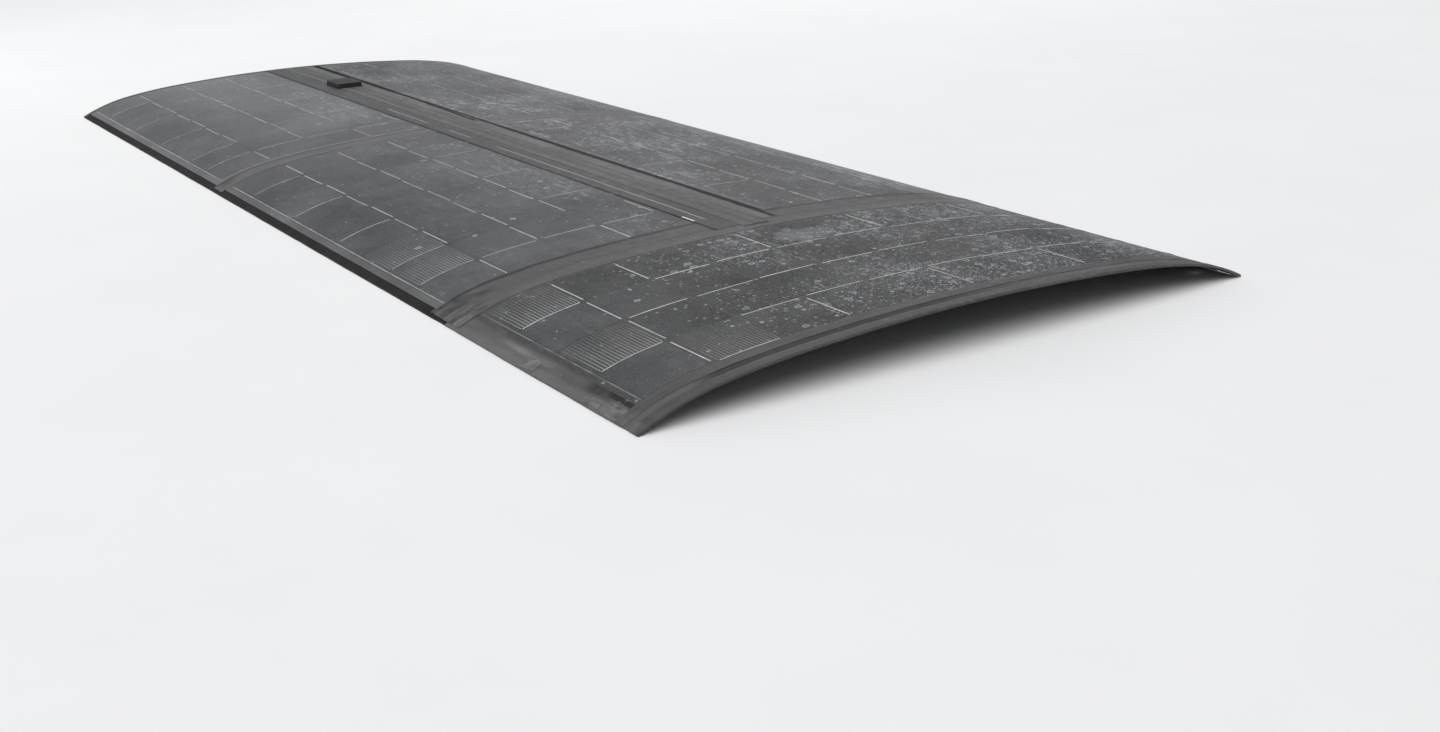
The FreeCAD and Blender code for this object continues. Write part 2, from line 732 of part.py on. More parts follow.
def entry_housing():
    """Add the housing: a tray with an outlet collar, cable slots and two hinge knuckles."""
    wall = "2 * sizes.entry_wall"
    outer = box("housing_block", "sizes.entry_length", "sizes.entry_width", "sizes.entry_height",
                "sizes.entry_x", "0", "0")
    outer = round_upright_edges("housing_round", outer, size("entry_corner"))
    inner = box("housing_room", "sizes.entry_length - " + wall, "sizes.entry_width - " + wall,
                "sizes.entry_height", "sizes.entry_x", "0", "sizes.entry_floor")
    inner = round_upright_edges("housing_room_round", inner, size("entry_corner") - size("entry_wall"))
    shell = cut("housing_shell", outer, [inner])
    collar_x = "sizes.entry_x - sizes.outlet_offset"
    collar = upright_cylinder("outlet_collar", "sizes.collar_radius", "sizes.collar_height",
                              collar_x, "0", "0")
    left = knuckle("knuckle_left", "-sizes.knuckle_outer", "-sizes.knuckle_inner", "wall")
    right = knuckle("knuckle_right", "sizes.knuckle_inner", "sizes.knuckle_outer", "wall")
    solid = fuse("housing_fuse", [shell, collar, left, right])
    outlet = upright_cylinder("outlet_bore", "sizes.outlet_radius", "2 * sizes.collar_height",
                              collar_x, "0", "-1")
    pin_hole = cross_cylinder("housing_pin_hole", "sizes.pin_radius", "-sizes.knuckle_outer - 1",
                              "sizes.knuckle_outer + 1", HINGE_X, HINGE_Z)
    slots = []
    for sign, side in ((-1, "left"), (1, "right")):
        middle = "%d * (sizes.cable_inner + sizes.cable_width / 2)" % sign
        slots.append(box("cable_slot_" + side, "2 * sizes.entry_length",
                         "sizes.cable_width + 2 * sizes.fit_gap",
                         "sizes.cable_top - sizes.tray_top + sizes.fit_gap",
                         "sizes.entry_x", middle, "sizes.entry_floor"))
    keep(cut("housing_cut", solid, [outlet, pin_hole] + slots), "entry_housing")


def entry_lid():
    """Add the lid: a plate with a rim that drops into the housing, and one hinge knuckle."""
    plate = box("lid_plate", "sizes.entry_length", "sizes.entry_width", "sizes.lid_thickness",
                "sizes.entry_x", "0", "sizes.entry_height + sizes.lid_gap")
    plate = round_upright_edges("lid_plate_round", plate, size("entry_corner"))
    inset = "2 * (sizes.entry_wall + sizes.lid_rim_gap)"
    rim = box("lid_rim", "sizes.entry_length - " + inset, "sizes.entry_width - " + inset,
              "sizes.lid_rim_height + 0.5", "sizes.entry_x", "0",
              "sizes.entry_height + sizes.lid_gap - sizes.lid_rim_height")
    corner = size("entry_corner") - size("entry_wall") - size("lid_rim_gap")
    rim = round_upright_edges("lid_rim_round", rim, corner)
    wall = inset + " - 2 * sizes.lid_rim_wall"
    room = box("lid_rim_room", "sizes.entry_length - " + wall, "sizes.entry_width - " + wall,
               "sizes.lid_rim_height + 1", "sizes.entry_x", "0",
               "sizes.entry_height + sizes.lid_gap - sizes.lid_rim_height - 1")
    room = round_upright_edges("lid_rim_room_round", room, corner - size("lid_rim_wall"))
    ring = cut("lid_ring", rim, [room])
    hinge = knuckle("knuckle_lid", "-sizes.knuckle_inner + sizes.fit_gap",
                    "sizes.knuckle_inner - sizes.fit_gap", "lid")
    solid = fuse("lid_fuse", [plate, ring, hinge])
    bore = cross_cylinder("lid_pin_hole", "sizes.pin_radius + sizes.pin_clearance",
                          "-sizes.knuckle_inner - 1", "sizes.knuckle_inner + 1", HINGE_X, HINGE_Z)
    keep(cut("lid_cut", solid, [bore]), "entry_lid")


def hinge_pin():
    """Add the steel pin of the lid hinge."""
    pin = cross_cylinder("pin_rod", "sizes.pin_radius", "-sizes.knuckle_outer", "sizes.knuckle_outer",
                         HINGE_X, HINGE_Z)
    keep(pin, "entry_hinge_pin")


LEVER_X = "sizes.entry_x + sizes.block_x - sizes.block_length / 2 + 4"
LEVER_Z = "sizes.entry_floor + sizes.block_height - sizes.lever_pivot_radius - 0.8"


def terminal_block():
    """Add the terminal block, with a pocket for each clamping lever."""
    body = box("block_body", "sizes.block_length", "sizes.block_width", "sizes.block_height",
               "sizes.entry_x + sizes.block_x", "0", "sizes.entry_floor")
    tools = []
    for sign, side in ((-1, "left"), (1, "right")):
        y = "%d * sizes.lever_y" % sign
        tools.append(box("lever_pocket_" + side, "sizes.block_length",
                         "sizes.lever_width + 2 * sizes.lever_clearance", "sizes.block_height",
                         LEVER_X + " + sizes.block_length / 2 - 3", y,
                         LEVER_Z + " - sizes.lever_pivot_radius - 0.6"))
    keep(cut("block_cut", body, tools), "terminal_block")


def lever(side, sign):
    """Add a clamping lever: a flat handle in front of a round pivot, drawn in a sketch and padded."""
    body = doc.addObject("PartDesign::Body", "lever_body_" + side)
    sketch = body.newObject("Sketcher::SketchObject", "lever_outline_" + side)
    plane = [p for p in body.Origin.OriginFeatures if p.Role == "XZ_Plane"][0]
    sketch.AttachmentSupport = [(plane, "")]
    sketch.MapMode = "FlatFace"
    radius, reach, thick = size("lever_pivot_radius"), size("lever_length"), size("lever_thickness")
    low = radius - thick
    rise = math.sqrt(radius * radius - low * low)
    sketch.addGeometry(Part.LineSegment(Vector(0, radius, 0), Vector(reach, radius, 0)), False)
    sketch.addGeometry(Part.LineSegment(Vector(reach, radius, 0), Vector(reach, low, 0)), False)
    sketch.addGeometry(Part.LineSegment(Vector(reach, low, 0), Vector(rise, low, 0)), False)
    turn = math.atan2(low, rise)
    circle = Part.Circle(Vector(0, 0, 0), Vector(0, 0, 1), radius)
    sketch.addGeometry(Part.ArcOfCircle(circle, math.pi / 2, 2 * math.pi + turn), False)
    add_lever_constraints(sketch)
    pad = body.newObject("PartDesign::Pad", "lever_pad_" + side)
    pad.Profile = sketch
    pad.setExpression("Length", "sizes.lever_width")
    pad.Midplane = True
    body.Tip = pad
    bind(body, x=LEVER_X, y="%d * sizes.lever_y" % sign)
    bind(body, z="sizes.arch_rise + " + LEVER_Z)
    keep(body, "terminal_lever_" + side)


def add_lever_constraints(sketch):
    """Tie the lever outline to the sheet: pivot radius, handle reach and handle thickness."""
    add = sketch.addConstraint
    add(Sketcher.Constraint("Coincident", 3, 3, -1, 1))
    add(Sketcher.Constraint("Coincident", 0, 1, 3, 1))
    add(Sketcher.Constraint("Coincident", 0, 2, 1, 1))
    add(Sketcher.Constraint("Coincident", 1, 2, 2, 1))
    add(Sketcher.Constraint("Coincident", 2, 2, 3, 2))
    add(Sketcher.Constraint("Horizontal", 0))
    add(Sketcher.Constraint("Vertical", 1))
    add(Sketcher.Constraint("Horizontal", 2))
    add(Sketcher.Constraint("PointOnObject", 0, 1, -2))
    radius = add(Sketcher.Constraint("Radius", 3, size("lever_pivot_radius")))
    sketch.setExpression("Constraints[%d]" % radius, "sizes.lever_pivot_radius")
    reach = add(Sketcher.Constraint("DistanceX", 0, 1, 0, 2, size("lever_length")))
    sketch.setExpression("Constraints[%d]" % reach, "sizes.lever_length")
    thick = add(Sketcher.Constraint("DistanceY", 1, 2, 1, 1, size("lever_thickness")))
    sketch.setExpression("Constraints[%d]" % thick, "sizes.lever_thickness")


# ---------------------------------------------------------------- assembly

def build():
    """Add every sub-part."""
    side_s = size("side_centre_s")
    front = Laminate("front", "front_centre_x", size("front_centre_s"), 0)
    sides = [
        Laminate("mid_left", "mid_centre_x", -side_s, 1),
        Laminate("mid_right", "mid_centre_x", side_s, -1),
        Laminate("rear_left", "rear_centre_x", -side_s, 1),
        Laminate("rear_right", "rear_centre_x", side_s, -1),
    ]
    for laminate in [front] + sides:
        laminate_parts(laminate)
    front_band()
    rear_band()
    front_edge()
    rear_edge()
    side_edges("left", -1, size("flap_inner_left"))
    side_edges("right", 1, size("flap_inner_right"))
    channel_tray()
    channel_cover()
    channel_tape("left", -1, size("side_tape_left_s"), "sizes.side_tape_left_x")
    channel_tape("right", 1, size("side_tape_right_s"), "sizes.side_tape_right_x")
    sealant_bead()
    trunk_cable("left", -1)
    trunk_cable("right", 1)
    pitch = size("cell_pitch")
    first_s = size("front_centre_s") - size("cells_long") * pitch / 2
    front_lead("left", -1, first_s + 1.5 * pitch)
    front_lead("right", 1, first_s + (size("cells_long") - 0.5) * pitch)
    terminals(sides)
    entry_housing()
    entry_lid()
    hinge_pin()
    terminal_block()
    lever("left", -1)
    lever("right", 1)


def check():
    """Stop if any object failed or any sub-part has no valid shape."""
    failed = [o.Name for o in doc.Objects if "Invalid" in o.State or "Error" in o.State]
    failed += [n for n, o in PARTS.items() if o.Shape.isNull() or not o.Shape.isValid()]
    if failed:
        raise RuntimeError("failed objects: " + ", ".join(failed))


def export():
    """Write each sub-part to its own STEP file."""
    os.makedirs("parts", exist_ok=True)
    for name, obj in PARTS.items():
        obj.Shape.exportStep("parts/%s.step" % name)
        print("%-28s solids %3d  volume %12.1f" % (name, len(obj.Shape.Solids), obj.Shape.Volume))
    whole = Part.makeCompound([o.Shape for o in PARTS.values()]).BoundBox
    print("nodes", len(PARTS), "box", [round(v, 2) for v in (whole.XMin, whole.XMax, whole.YMin,
                                                            whole.YMax, whole.ZMin, whole.ZMax)])


build()
doc.recompute()
check()
export()
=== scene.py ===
"""Looks of the flexible solar sheet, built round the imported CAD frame.

Lengths are millimetres, except in the materials, the camera and the lights, which are in metres.
x runs along the sheet, s runs round the arch from the crown line, and d is the height above the
roof.  on_arch() turns them into points of the row frame, in metres.
"""

import math

import bpy
import numpy as np
from mathutils import Matrix, Vector


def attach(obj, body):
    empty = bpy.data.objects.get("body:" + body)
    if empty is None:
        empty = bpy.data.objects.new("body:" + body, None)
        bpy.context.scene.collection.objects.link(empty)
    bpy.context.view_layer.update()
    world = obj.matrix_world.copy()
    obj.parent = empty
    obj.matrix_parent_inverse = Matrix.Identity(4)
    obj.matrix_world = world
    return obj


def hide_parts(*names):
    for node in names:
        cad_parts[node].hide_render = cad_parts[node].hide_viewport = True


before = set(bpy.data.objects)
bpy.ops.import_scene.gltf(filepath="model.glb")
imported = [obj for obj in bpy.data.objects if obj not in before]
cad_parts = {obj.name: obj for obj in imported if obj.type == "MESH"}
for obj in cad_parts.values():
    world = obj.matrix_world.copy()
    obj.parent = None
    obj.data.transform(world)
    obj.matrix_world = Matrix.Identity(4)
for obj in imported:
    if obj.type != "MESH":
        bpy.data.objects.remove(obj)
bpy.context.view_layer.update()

# ------------------------------------------------------------------ the arch

MM = 0.001
REACH = np.array([0.0, 469.0, 635.5, 802.0])     # where each arc starts, and the side edge
RADIUS = np.array([5600.0, 1690.0, 590.0])       # of the crown, the haunch and the shoulder
SIDE = REACH[3]


def arch_zones():
    """Return the angle at which each arc starts and the centre of each arc (y, z)."""
    angles = [0.0]
    centres = [(0.0, -RADIUS[0])]
    for zone in (1, 2):
        angle = angles[-1] + (REACH[zone] - REACH[zone - 1]) / RADIUS[zone - 1]
        step = RADIUS[zone - 1] - RADIUS[zone]
        y, z = centres[-1]
        centres.append((y + step * math.sin(angle), z + step * math.cos(angle)))
        angles.append(angle)
    return np.array(angles), np.array(centres)


ZONE_ANGLE, ZONE_CENTRE = arch_zones()


def arch_section(s, d):
    """Return y and z, from the crown of the roof, of places on the arch."""
    reach = np.abs(s)
    zone = np.clip(np.searchsorted(REACH, reach, side="right") - 1, 0, 2)
    angle = ZONE_ANGLE[zone] + (reach - REACH[zone]) / RADIUS[zone]
    out = RADIUS[zone] + d
    y = ZONE_CENTRE[zone, 0] + out * np.sin(angle)
    z = ZONE_CENTRE[zone, 1] + out * np.cos(angle)
    return np.copysign(y, s), z


RISE = -float(arch_section(np.array(SIDE), 0.0)[1])


def on_arch(x, s, d):
    """Return points of the row frame in metres."""
    x, s, d = np.broadcast_arrays(np.asarray(x, float), s, d)
    y, z = arch_section(s, d)
    return np.stack([x, y, z + RISE], axis=-1) * MM


# ------------------------------------------------------------------ repeatable noise

class Noise:
    """Smooth noise from -1 to 1 on a plane, the same in each run."""

    SIZE = 256

    def __init__(self, seed):
        self.table = np.random.default_rng(seed).uniform(-1, 1, (self.SIZE, self.SIZE))

    def __call__(self, x, s, size_x, size_s=None):
        u = np.asarray(x, float) / size_x + 2 * self.SIZE
        v = np.asarray(s, float) / (size_s or size_x) + 2 * self.SIZE
        iu, iv = np.floor(u).astype(int), np.floor(v).astype(int)
        fu, fv = u - iu, v - iv
        fu, fv = fu * fu * (3 - 2 * fu), fv * fv * (3 - 2 * fv)
        rows = (iu % self.SIZE, (iu + 1) % self.SIZE)
        near, far = (self.table[row, iv % self.SIZE] * (1 - fv)
                     + self.table[row, (iv + 1) % self.SIZE] * fv for row in rows)
        return near * (1 - fu) + far * fu


SWELL = Noise(3)
EDGE = Noise(5)
CREASE = Noise(7)
TONE = Noise(9)


def swell(x, s):
    """How far the laminates swell from the true arch, as bonded film does."""
    return 0.10 * SWELL(x, s, 170) + 0.04 * SWELL(x + 900, s, 55)


def creases(x, s, size_x, size_s):
    """Sharp-topped folds from 0 to 1."""
    broad = 1 - np.abs(CREASE(x, s, size_x, size_s))
    fine = 1 - np.abs(CREASE(x + 700, s - 300, size_x / 2.3, size_s / 2.3))
    return 0.65 * broad ** 4 + 0.35 * fine ** 4


def bumps(x, s, places):
    """Sum of soft bumps, each (x, s, half length along x, half length along s, height)."""
    total = np.zeros(np.broadcast(x, s).shape)
    for bump_x, bump_s, long_x, long_s, height in places:
        total += height * np.exp(-((x - bump_x) / long_x) ** 2 - ((s - bump_s) / long_s) ** 2)
    return total


def within(value, low, high, soft):
    """1 between low and high, with soft ends."""
    rise = np.clip((value - low) / soft + 0.5, 0, 1)
    fall = np.clip((high - value) / soft + 0.5, 0, 1)
    return rise * fall


# ------------------------------------------------------------------ mesh building

SHARP_ANGLE = 50.0                               # degrees
EDGE_STEPS, EDGE_WIDTH = np.array([0.0, 0.25, 0.7]), 1.5


def quads(index):
    """Return the quads of a grid of vertex numbers."""
    corners = [index[:-1, :-1], index[1:, :-1], index[1:, 1:], index[:-1, 1:]]
    return np.stack(corners, -1).reshape(-1, 4)


def rim_quads(upper, lower):
    """Return the side walls between the upper and the lower grid."""
    walls = []
    for side, flip in ((lambda g: g[0], True), (lambda g: g[-1], False),
                       (lambda g: g[:, 0], False), (lambda g: g[:, -1], True)):
        top, under = side(upper), side(lower)
        wall = np.stack([under[:-1], under[1:], top[1:], top[:-1]], -1)
        walls.append(wall[:, ::-1] if flip else wall)
    return np.concatenate(walls)


class Shell:
    """Collects closed slabs that follow the arch, for one mesh."""

    def __init__(self):
        self.points, self.faces, self.shades = [], [], []
        self.count = 0

    def slab(self, x, s, top, under, shade=0.0):
        """Add a slab from grids: axis 0 runs with x and axis 1 with s."""
        x, s, top, under, shade = np.broadcast_arrays(x, s, top, under, shade)
        upper = np.arange(x.size).reshape(x.shape) + self.count
        lower = upper + x.size
        self.points += [on_arch(x, s, top).reshape(-1, 3), on_arch(x, s, under).reshape(-1, 3)]
        self.faces += [quads(upper), quads(lower)[:, ::-1], rim_quads(upper, lower)]
        self.shades += [shade.ravel(), shade.ravel()]
        self.count += 2 * x.size

    def build(self, name, material, slot, stands_for=None):
        """Make the object, let it ride on the sheet and hide the CAD node it stands for."""
        points, faces = np.concatenate(self.points), np.concatenate(self.faces)
        mesh = bpy.data.meshes.new(name)
        mesh.vertices.add(len(points))
        mesh.vertices.foreach_set("co", points.astype(np.float32).ravel())
        mesh.loops.add(faces.size)
        mesh.loops.foreach_set("vertex_index", faces.astype(np.int32).ravel())
        mesh.polygons.add(len(faces))
        mesh.polygons.foreach_set("loop_start", np.arange(0, faces.size, 4, dtype=np.int32))
        mesh.polygons.foreach_set("use_smooth", np.ones(len(faces), bool))
        shade = mesh.attributes.new("shade", "FLOAT", "POINT")
        shade.data.foreach_set("value", np.concatenate(self.shades).astype(np.float32))
        mesh.update()
        mesh.validate()
        mesh.set_sharp_from_angle(angle=math.radians(SHARP_ANGLE))
        mesh.materials.append(M[material])
        piece = bpy.data.objects.new(name, mesh)
        bpy.context.scene.collection.objects.link(piece)
        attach(piece, "sheet")
        if stands_for:
            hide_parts(stands_for)


def spread(low, high, step):
    """Return places from low to high: close together at both ends, a step apart between."""
    count = max(2, int(round((high - low - 2 * EDGE_WIDTH) / step)) + 1)
    middle = np.linspace(low + EDGE_WIDTH, high - EDGE_WIDTH, count)
    return np.concatenate([low + EDGE_STEPS, middle, high - EDGE_STEPS[::-1]])


def shoulder(value, low, high, radius):
    """A rounded edge profile: 0 at low and high, 1 from a radius inside them."""
    inside = np.clip(np.minimum(value - low, high - value) / radius, 0, 1)
    return np.sqrt(1 - (1 - inside) ** 2)


def lay_strip(shell, x_range, s_range, heights, step, wander=0.0, seed=0, lift=None, shade=None,
              radius=1.4, rim_shade=-0.45, extra_x=(), extra_s=()):
    """Add one strip of tape, rubber or trim, with rounded edges that wander a little.

    heights are those of its underside and its top, step is about how far apart its places are
    along x and s, lift and shade are functions of (x, s), radius rounds its edges, and rim_shade
    is the shade that is added there.
    """
    under, top = heights
    s_range = sorted(s_range)
    x = np.unique(np.concatenate([spread(*x_range, step[0]), np.array(extra_x, float)]))
    s = np.unique(np.concatenate([spread(*s_range, step[1]), np.array(extra_s, float)]))
    x, s = np.meshgrid(x, s, indexing="ij")
    edge = shoulder(x, *x_range, radius) * shoulder(s, *s_range, radius)
    height = under + (top - under) * (0.3 + 0.7 * edge)
    tone = rim_shade * (1 - edge)
    if lift:
        height = height + lift(x, s) * edge
    if shade:
        tone = tone + shade(x, s)
    part_x = (x - x_range[0]) / (x_range[1] - x_range[0])
    part_s = (s - s_range[0]) / (s_range[1] - s_range[0])
    shift_x = (1 - part_x) * EDGE(s, seed * 17.0, 45) + part_x * EDGE(s + 400, seed * 23.0, 45)
    shift_s = (1 - part_s) * EDGE(x, seed * 29.0, 60) + part_s * EDGE(x + 400, seed * 31.0, 60)
    shell.slab(x + wander * shift_x, s + wander * shift_s, height, under, tone)


# ------------------------------------------------------------------ materials

class Nodes:
    """A small helper that writes one node material."""

    def __init__(self, name):
        self.material = bpy.data.materials.new(name)
        self.material.use_nodes = True
        self.tree = self.material.node_tree
        self.tree.nodes.clear()
        self.place = self.add("ShaderNodeTexCoord").outputs["Object"]

    def add(self, kind, inputs=None, **settings):
        node = self.tree.nodes.new(kind)
        for key, value in settings.items():
            setattr(node, key, value)
        for key, value in (inputs or {}).items():
            self.feed(node.inputs[key], value)
        return node

    def feed(self, socket, value):
        if isinstance(value, bpy.types.NodeSocket):
            self.tree.links.new(value, socket)
        else:
            socket.default_value = value

    def math(self, operation, *values, clamp=False):
        inputs = dict(enumerate(values))
        return self.add("ShaderNodeMath", inputs, operation=operation, use_clamp=clamp).outputs[0]

    def product(self, *values):
        result = values[0]
        for value in values[1:]:
            result = self.math("MULTIPLY", result, value)
        return result

    def ramp(self, value, low, high, to_low=0.0, to_high=1.0):
        """Smooth step of value from low to high."""
        inputs = {"Value": value, "From Min": low, "From Max": high,
                  "To Min": to_low, "To Max": to_high}
        node = self.add("ShaderNodeMapRange", inputs, interpolation_type="SMOOTHSTEP")
        return node.outputs["Result"]

    def mix(self, factor, first, second):
        node = self.add("ShaderNodeMix", data_type="RGBA")
        self.feed(node.inputs[0], factor)
        self.feed(node.inputs[6], first)
        self.feed(node.inputs[7], second)
        return node.outputs[2]

    def stretched(self, scale):
        node = self.add("ShaderNodeMapping", {"Vector": self.place})
        node.inputs["Scale"].default_value = scale
        return node.outputs["Vector"]

    def noise(self, scale, detail=3.0, roughness=0.55, vector=None):
        inputs = {"Vector": vector or self.place, "Scale": scale, "Detail": detail,
                  "Roughness": roughness}
        return self.add("ShaderNodeTexNoise", inputs).outputs["Fac"]

    def voronoi(self, scale, vector):
        """Return the distance to the nearest point, and two random values of that point."""
        node = self.add("ShaderNodeTexVoronoi", {"Vector": vector, "Scale": scale})
        colour = self.add("ShaderNodeSeparateColor", {"Color": node.outputs["Color"]})
        return node.outputs["Distance"], colour.outputs["Red"], colour.outputs["Green"]

    def attribute(self, name):
        return self.add("ShaderNodeAttribute", attribute_name=name).outputs["Fac"]

    def bump(self, height, distance, normal=None):
        inputs = {"Height": height, "Distance": distance, "Strength": 1.0}
        if normal:
            inputs["Normal"] = normal
        return self.add("ShaderNodeBump", inputs).outputs["Normal"]

    def finish(self, colour, roughness, normal=None, metallic=0.0, specular=0.35):
        """Close the material with a Principled shader and return it."""
        inputs = {"Base Color": colour, "Roughness": roughness}
        shader = self.add("ShaderNodeBsdfPrincipled", inputs)
        shader.inputs["Metallic"].default_value = metallic
        shader.inputs["Specular IOR Level"].default_value = specular
        if normal:
            self.feed(shader.inputs["Normal"], normal)
        self.add("ShaderNodeOutputMaterial", {"Surface": shader.outputs[0]})
        return self.material


def rgb(grey, tint=(1.0, 1.0, 1.0)):
    """Return a grey as a colour with alpha, tinted a little."""
    return tuple(grey * t for t in tint) + (1.0,)


COOL, FAINT_COOL, WARM = (0.975, 1.0, 1.03), (0.985, 1.0, 1.01), (1.03, 1.0, 0.97)
# the colour of the dust, and of the painted sheen along the right shoulder
DUST_AND_SHEEN_COLOUR = rgb(0.42, (0.975, 1.0, 1.015))
SMEAR_AMOUNT = 0.22


def spots(n, scale, density, least, spread_by, vector):
    """Dried drops: a faint disc with a brighter rim, in a share of the cells of a pattern."""
    distance, size, chance = n.voronoi(scale, vector)
    radius = n.math("MULTIPLY_ADD", size, spread_by, least)
    inner, outer = n.product(radius, 0.55), n.product(radius, 0.80)
    disc = n.ramp(distance, radius, outer)
    ring = n.product(disc, n.ramp(distance, inner, outer))
    there = n.math("LESS_THAN", chance, density)
    return n.product(there, n.math("MULTIPLY_ADD", ring, 0.75, n.product(disc, 0.25)))


def shaken(n):
    """The surface's own coordinates, shaken a little so that the drops aren't round."""
    wobble = n.add("ShaderNodeTexNoise", {"Vector": n.place, "Scale": 90.0, "Detail": 2.0})
    shift = n.add("ShaderNodeVectorMath", {0: wobble.outputs["Color"], "Scale": 0.0032},
                  operation="SCALE")
    moved = n.add("ShaderNodeVectorMath", {0: n.place, 1: shift.outputs[0]}, operation="ADD")
    return moved.outputs[0]


def drops(n, y, ahead):
    """Dried drops and specks, most of them on the right and on the front laminate."""
    right = n.ramp(y, -0.65, 0.0)
    cloud = n.ramp(n.noise(5.0, 2.0), 0.30, 0.60, 0.15, 1.0)
    density = n.math("MULTIPLY_ADD", ahead, n.math("MULTIPLY_ADD", right, 0.45, 0.01),
                     n.ramp(y, -0.5, 0.2, 0.015, 0.40))
    density = n.product(density, cloud)
    vector = shaken(n)
    large = n.product(spots(n, 40.0, n.product(density, 0.8), 0.12, 0.30, vector), 0.9)
    small = spots(n, 110.0, n.product(density, 1.1), 0.15, 0.30, vector)
    share = n.math("MULTIPLY_ADD", density, 0.9, n.ramp(y, -0.3, 0.3, 0.20, 0.40))
    specks = n.product(n.ramp(n.noise(290.0, 3.0, 0.65), 0.53, 0.69), share)
    return n.math("MAXIMUM", n.math("MAXIMUM", large, small), specks)


def streaks(n, y):
    """Patches of fine streaks along the sheet, stronger on the right."""
    fine = n.ramp(n.noise(1.0, 5.0, 0.75, n.stretched((14.0, 60.0, 14.0))), 0.50, 0.72)
    patches = n.ramp(n.noise(2.5, 3.0), 0.42, 0.66)
    return n.product(fine, patches, n.ramp(y, -0.4, 0.4, 0.20, 1.35))


def dust_and_sheen_haze(n, x, y, ahead):
    """Even dust: a cloudy haze behind; the surface is also paler towards the rear and on the front
    left, and has a painted sheen along the right shoulder.
    """
    rear = n.product(n.ramp(x, 0.9, -1.5, 0.0, 0.13), n.ramp(y, 0.15, -0.25, 0.35, 1.8),
                     n.ramp(y, -0.75, -0.40, 0.45, 1.0))
    haze = n.ramp(x, 1.1, 1.3, 0.08, 0.0)
    cloud = n.ramp(n.noise(2.6, 6.0, 0.65), 0.38, 0.66)
    # a painted sheen along the right shoulder
    painted_sheen_rim = n.product(n.ramp(y, 0.54, 0.68), n.ramp(x, -0.3, 0.5, 0.12, 0.26),
                          n.ramp(x, 1.25, 1.45, 1.0, 0.5))
    front_left = n.product(ahead, n.ramp(y, -0.25, -0.45, 0.0, 0.014))
    film = n.math("ADD", n.math("MULTIPLY_ADD", cloud, haze, rear), painted_sheen_rim)
    return n.math("ADD", film, front_left)


def smear_mask(n, x, y):
    """One wiped, paler patch near the crown line of the front laminate."""
    along = n.product(n.math("SUBTRACT", x, 1.324), 19.0)
    across = n.product(n.math("SUBTRACT", y, 0.027), 14.0)
    away = n.math("ADD", n.math("POWER", n.math("ABSOLUTE", along), 2.0),
                  n.math("POWER", n.math("ABSOLUTE", across), 2.0))
    ragged = n.math("MULTIPLY_ADD", n.noise(28.0, 3.0), 1.6, away)
    return n.ramp(ragged, 1.9, 1.5)


def weathered_with_sheen(n, colour, amount):
    """Lay dust, dried drops, streaks and a painted sheen over a colour; return it and how much they
    cover.
    """
    axes = n.add("ShaderNodeSeparateXYZ", {"Vector": n.place})
    x, y = axes.outputs["X"], axes.outputs["Y"]
    ahead = n.ramp(x, 1.12, 1.28)
    cover = n.math("MAXIMUM", drops(n, y, ahead), streaks(n, y))
    cover = n.math("ADD", cover, dust_and_sheen_haze(n, x, y, ahead))
    cover = n.math("MULTIPLY", cover, amount, clamp=True)
    smear = n.product(smear_mask(n, x, y), SMEAR_AMOUNT * amount)
    cover = n.math("ADD", cover, smear, clamp=True)
    return n.mix(cover, colour, DUST_AND_SHEEN_COLOUR), cover


def shaded(n, colour, dark, light):
    """Darken or lighten a colour where the mesh's shade is below or above nought."""
    shade = n.attribute("shade")
    below = n.math("MULTIPLY", shade, -1.0, clamp=True)
    above = n.math("MULTIPLY", shade, 1.0, clamp=True)
    return n.mix(above, n.mix(below, colour, dark), light)


def mottled(n, first, second, scale=18.0):
    """Two close colours mixed by a soft cloud."""
    return n.mix(n.ramp(n.noise(scale, 4.0, 0.6), 0.3, 0.7), first, second)


def top_surface(name, first, second, dark, light, dust_and_sheen, roughness=0.50):
    """A weathered film or tape surface, with the painted sheen along the right shoulder."""
    n = Nodes(name)
    colour = shaded(n, mottled(n, first, second), dark, light)
    colour, cover = weathered_with_sheen(n, colour, dust_and_sheen)
    gloss = n.ramp(n.noise(40.0, 3.0), 0.2, 0.8, roughness - 0.05, roughness + 0.05)
    rough = n.math("MULTIPLY_ADD", cover, 0.3, gloss)
    broad = n.bump(n.noise(22.0, 3.0), 0.0006)
    fine = n.bump(n.noise(950.0, 2.0), 0.00006, broad)
    return n.finish(colour, rough, fine, specular=0.28)


def body_surface(name, first, second, roughness, scale=60.0, grain=0.0001, grain_scale=500.0,
                 metallic=0.0, specular=0.35):
    """A plain moulded, rubber or metal surface with grain and uneven gloss."""
    n = Nodes(name)
    colour = mottled(n, first, second, scale)
    rough = n.ramp(n.noise(scale * 2, 3.0), 0.25, 0.75, roughness - 0.07, roughness + 0.07)
    normal = n.bump(n.noise(grain_scale, 3.0), grain)
    return n.finish(colour, rough, normal, metallic, specular)


def line_surface(name, dull, bright, dust_and_sheen):
    """Tinned lines under the film: dull where the shade is 0 and bright where it is 1."""
    n = Nodes(name)
    worn = n.ramp(n.noise(160.0, 3.0, 0.7), 0.25, 0.6, 0.7, 1.0)
    share = n.product(n.attribute("shade"), worn)
    return n.finish(weathered_with_sheen(n, n.mix(share, dull, bright), dust_and_sheen)[0], 0.50)
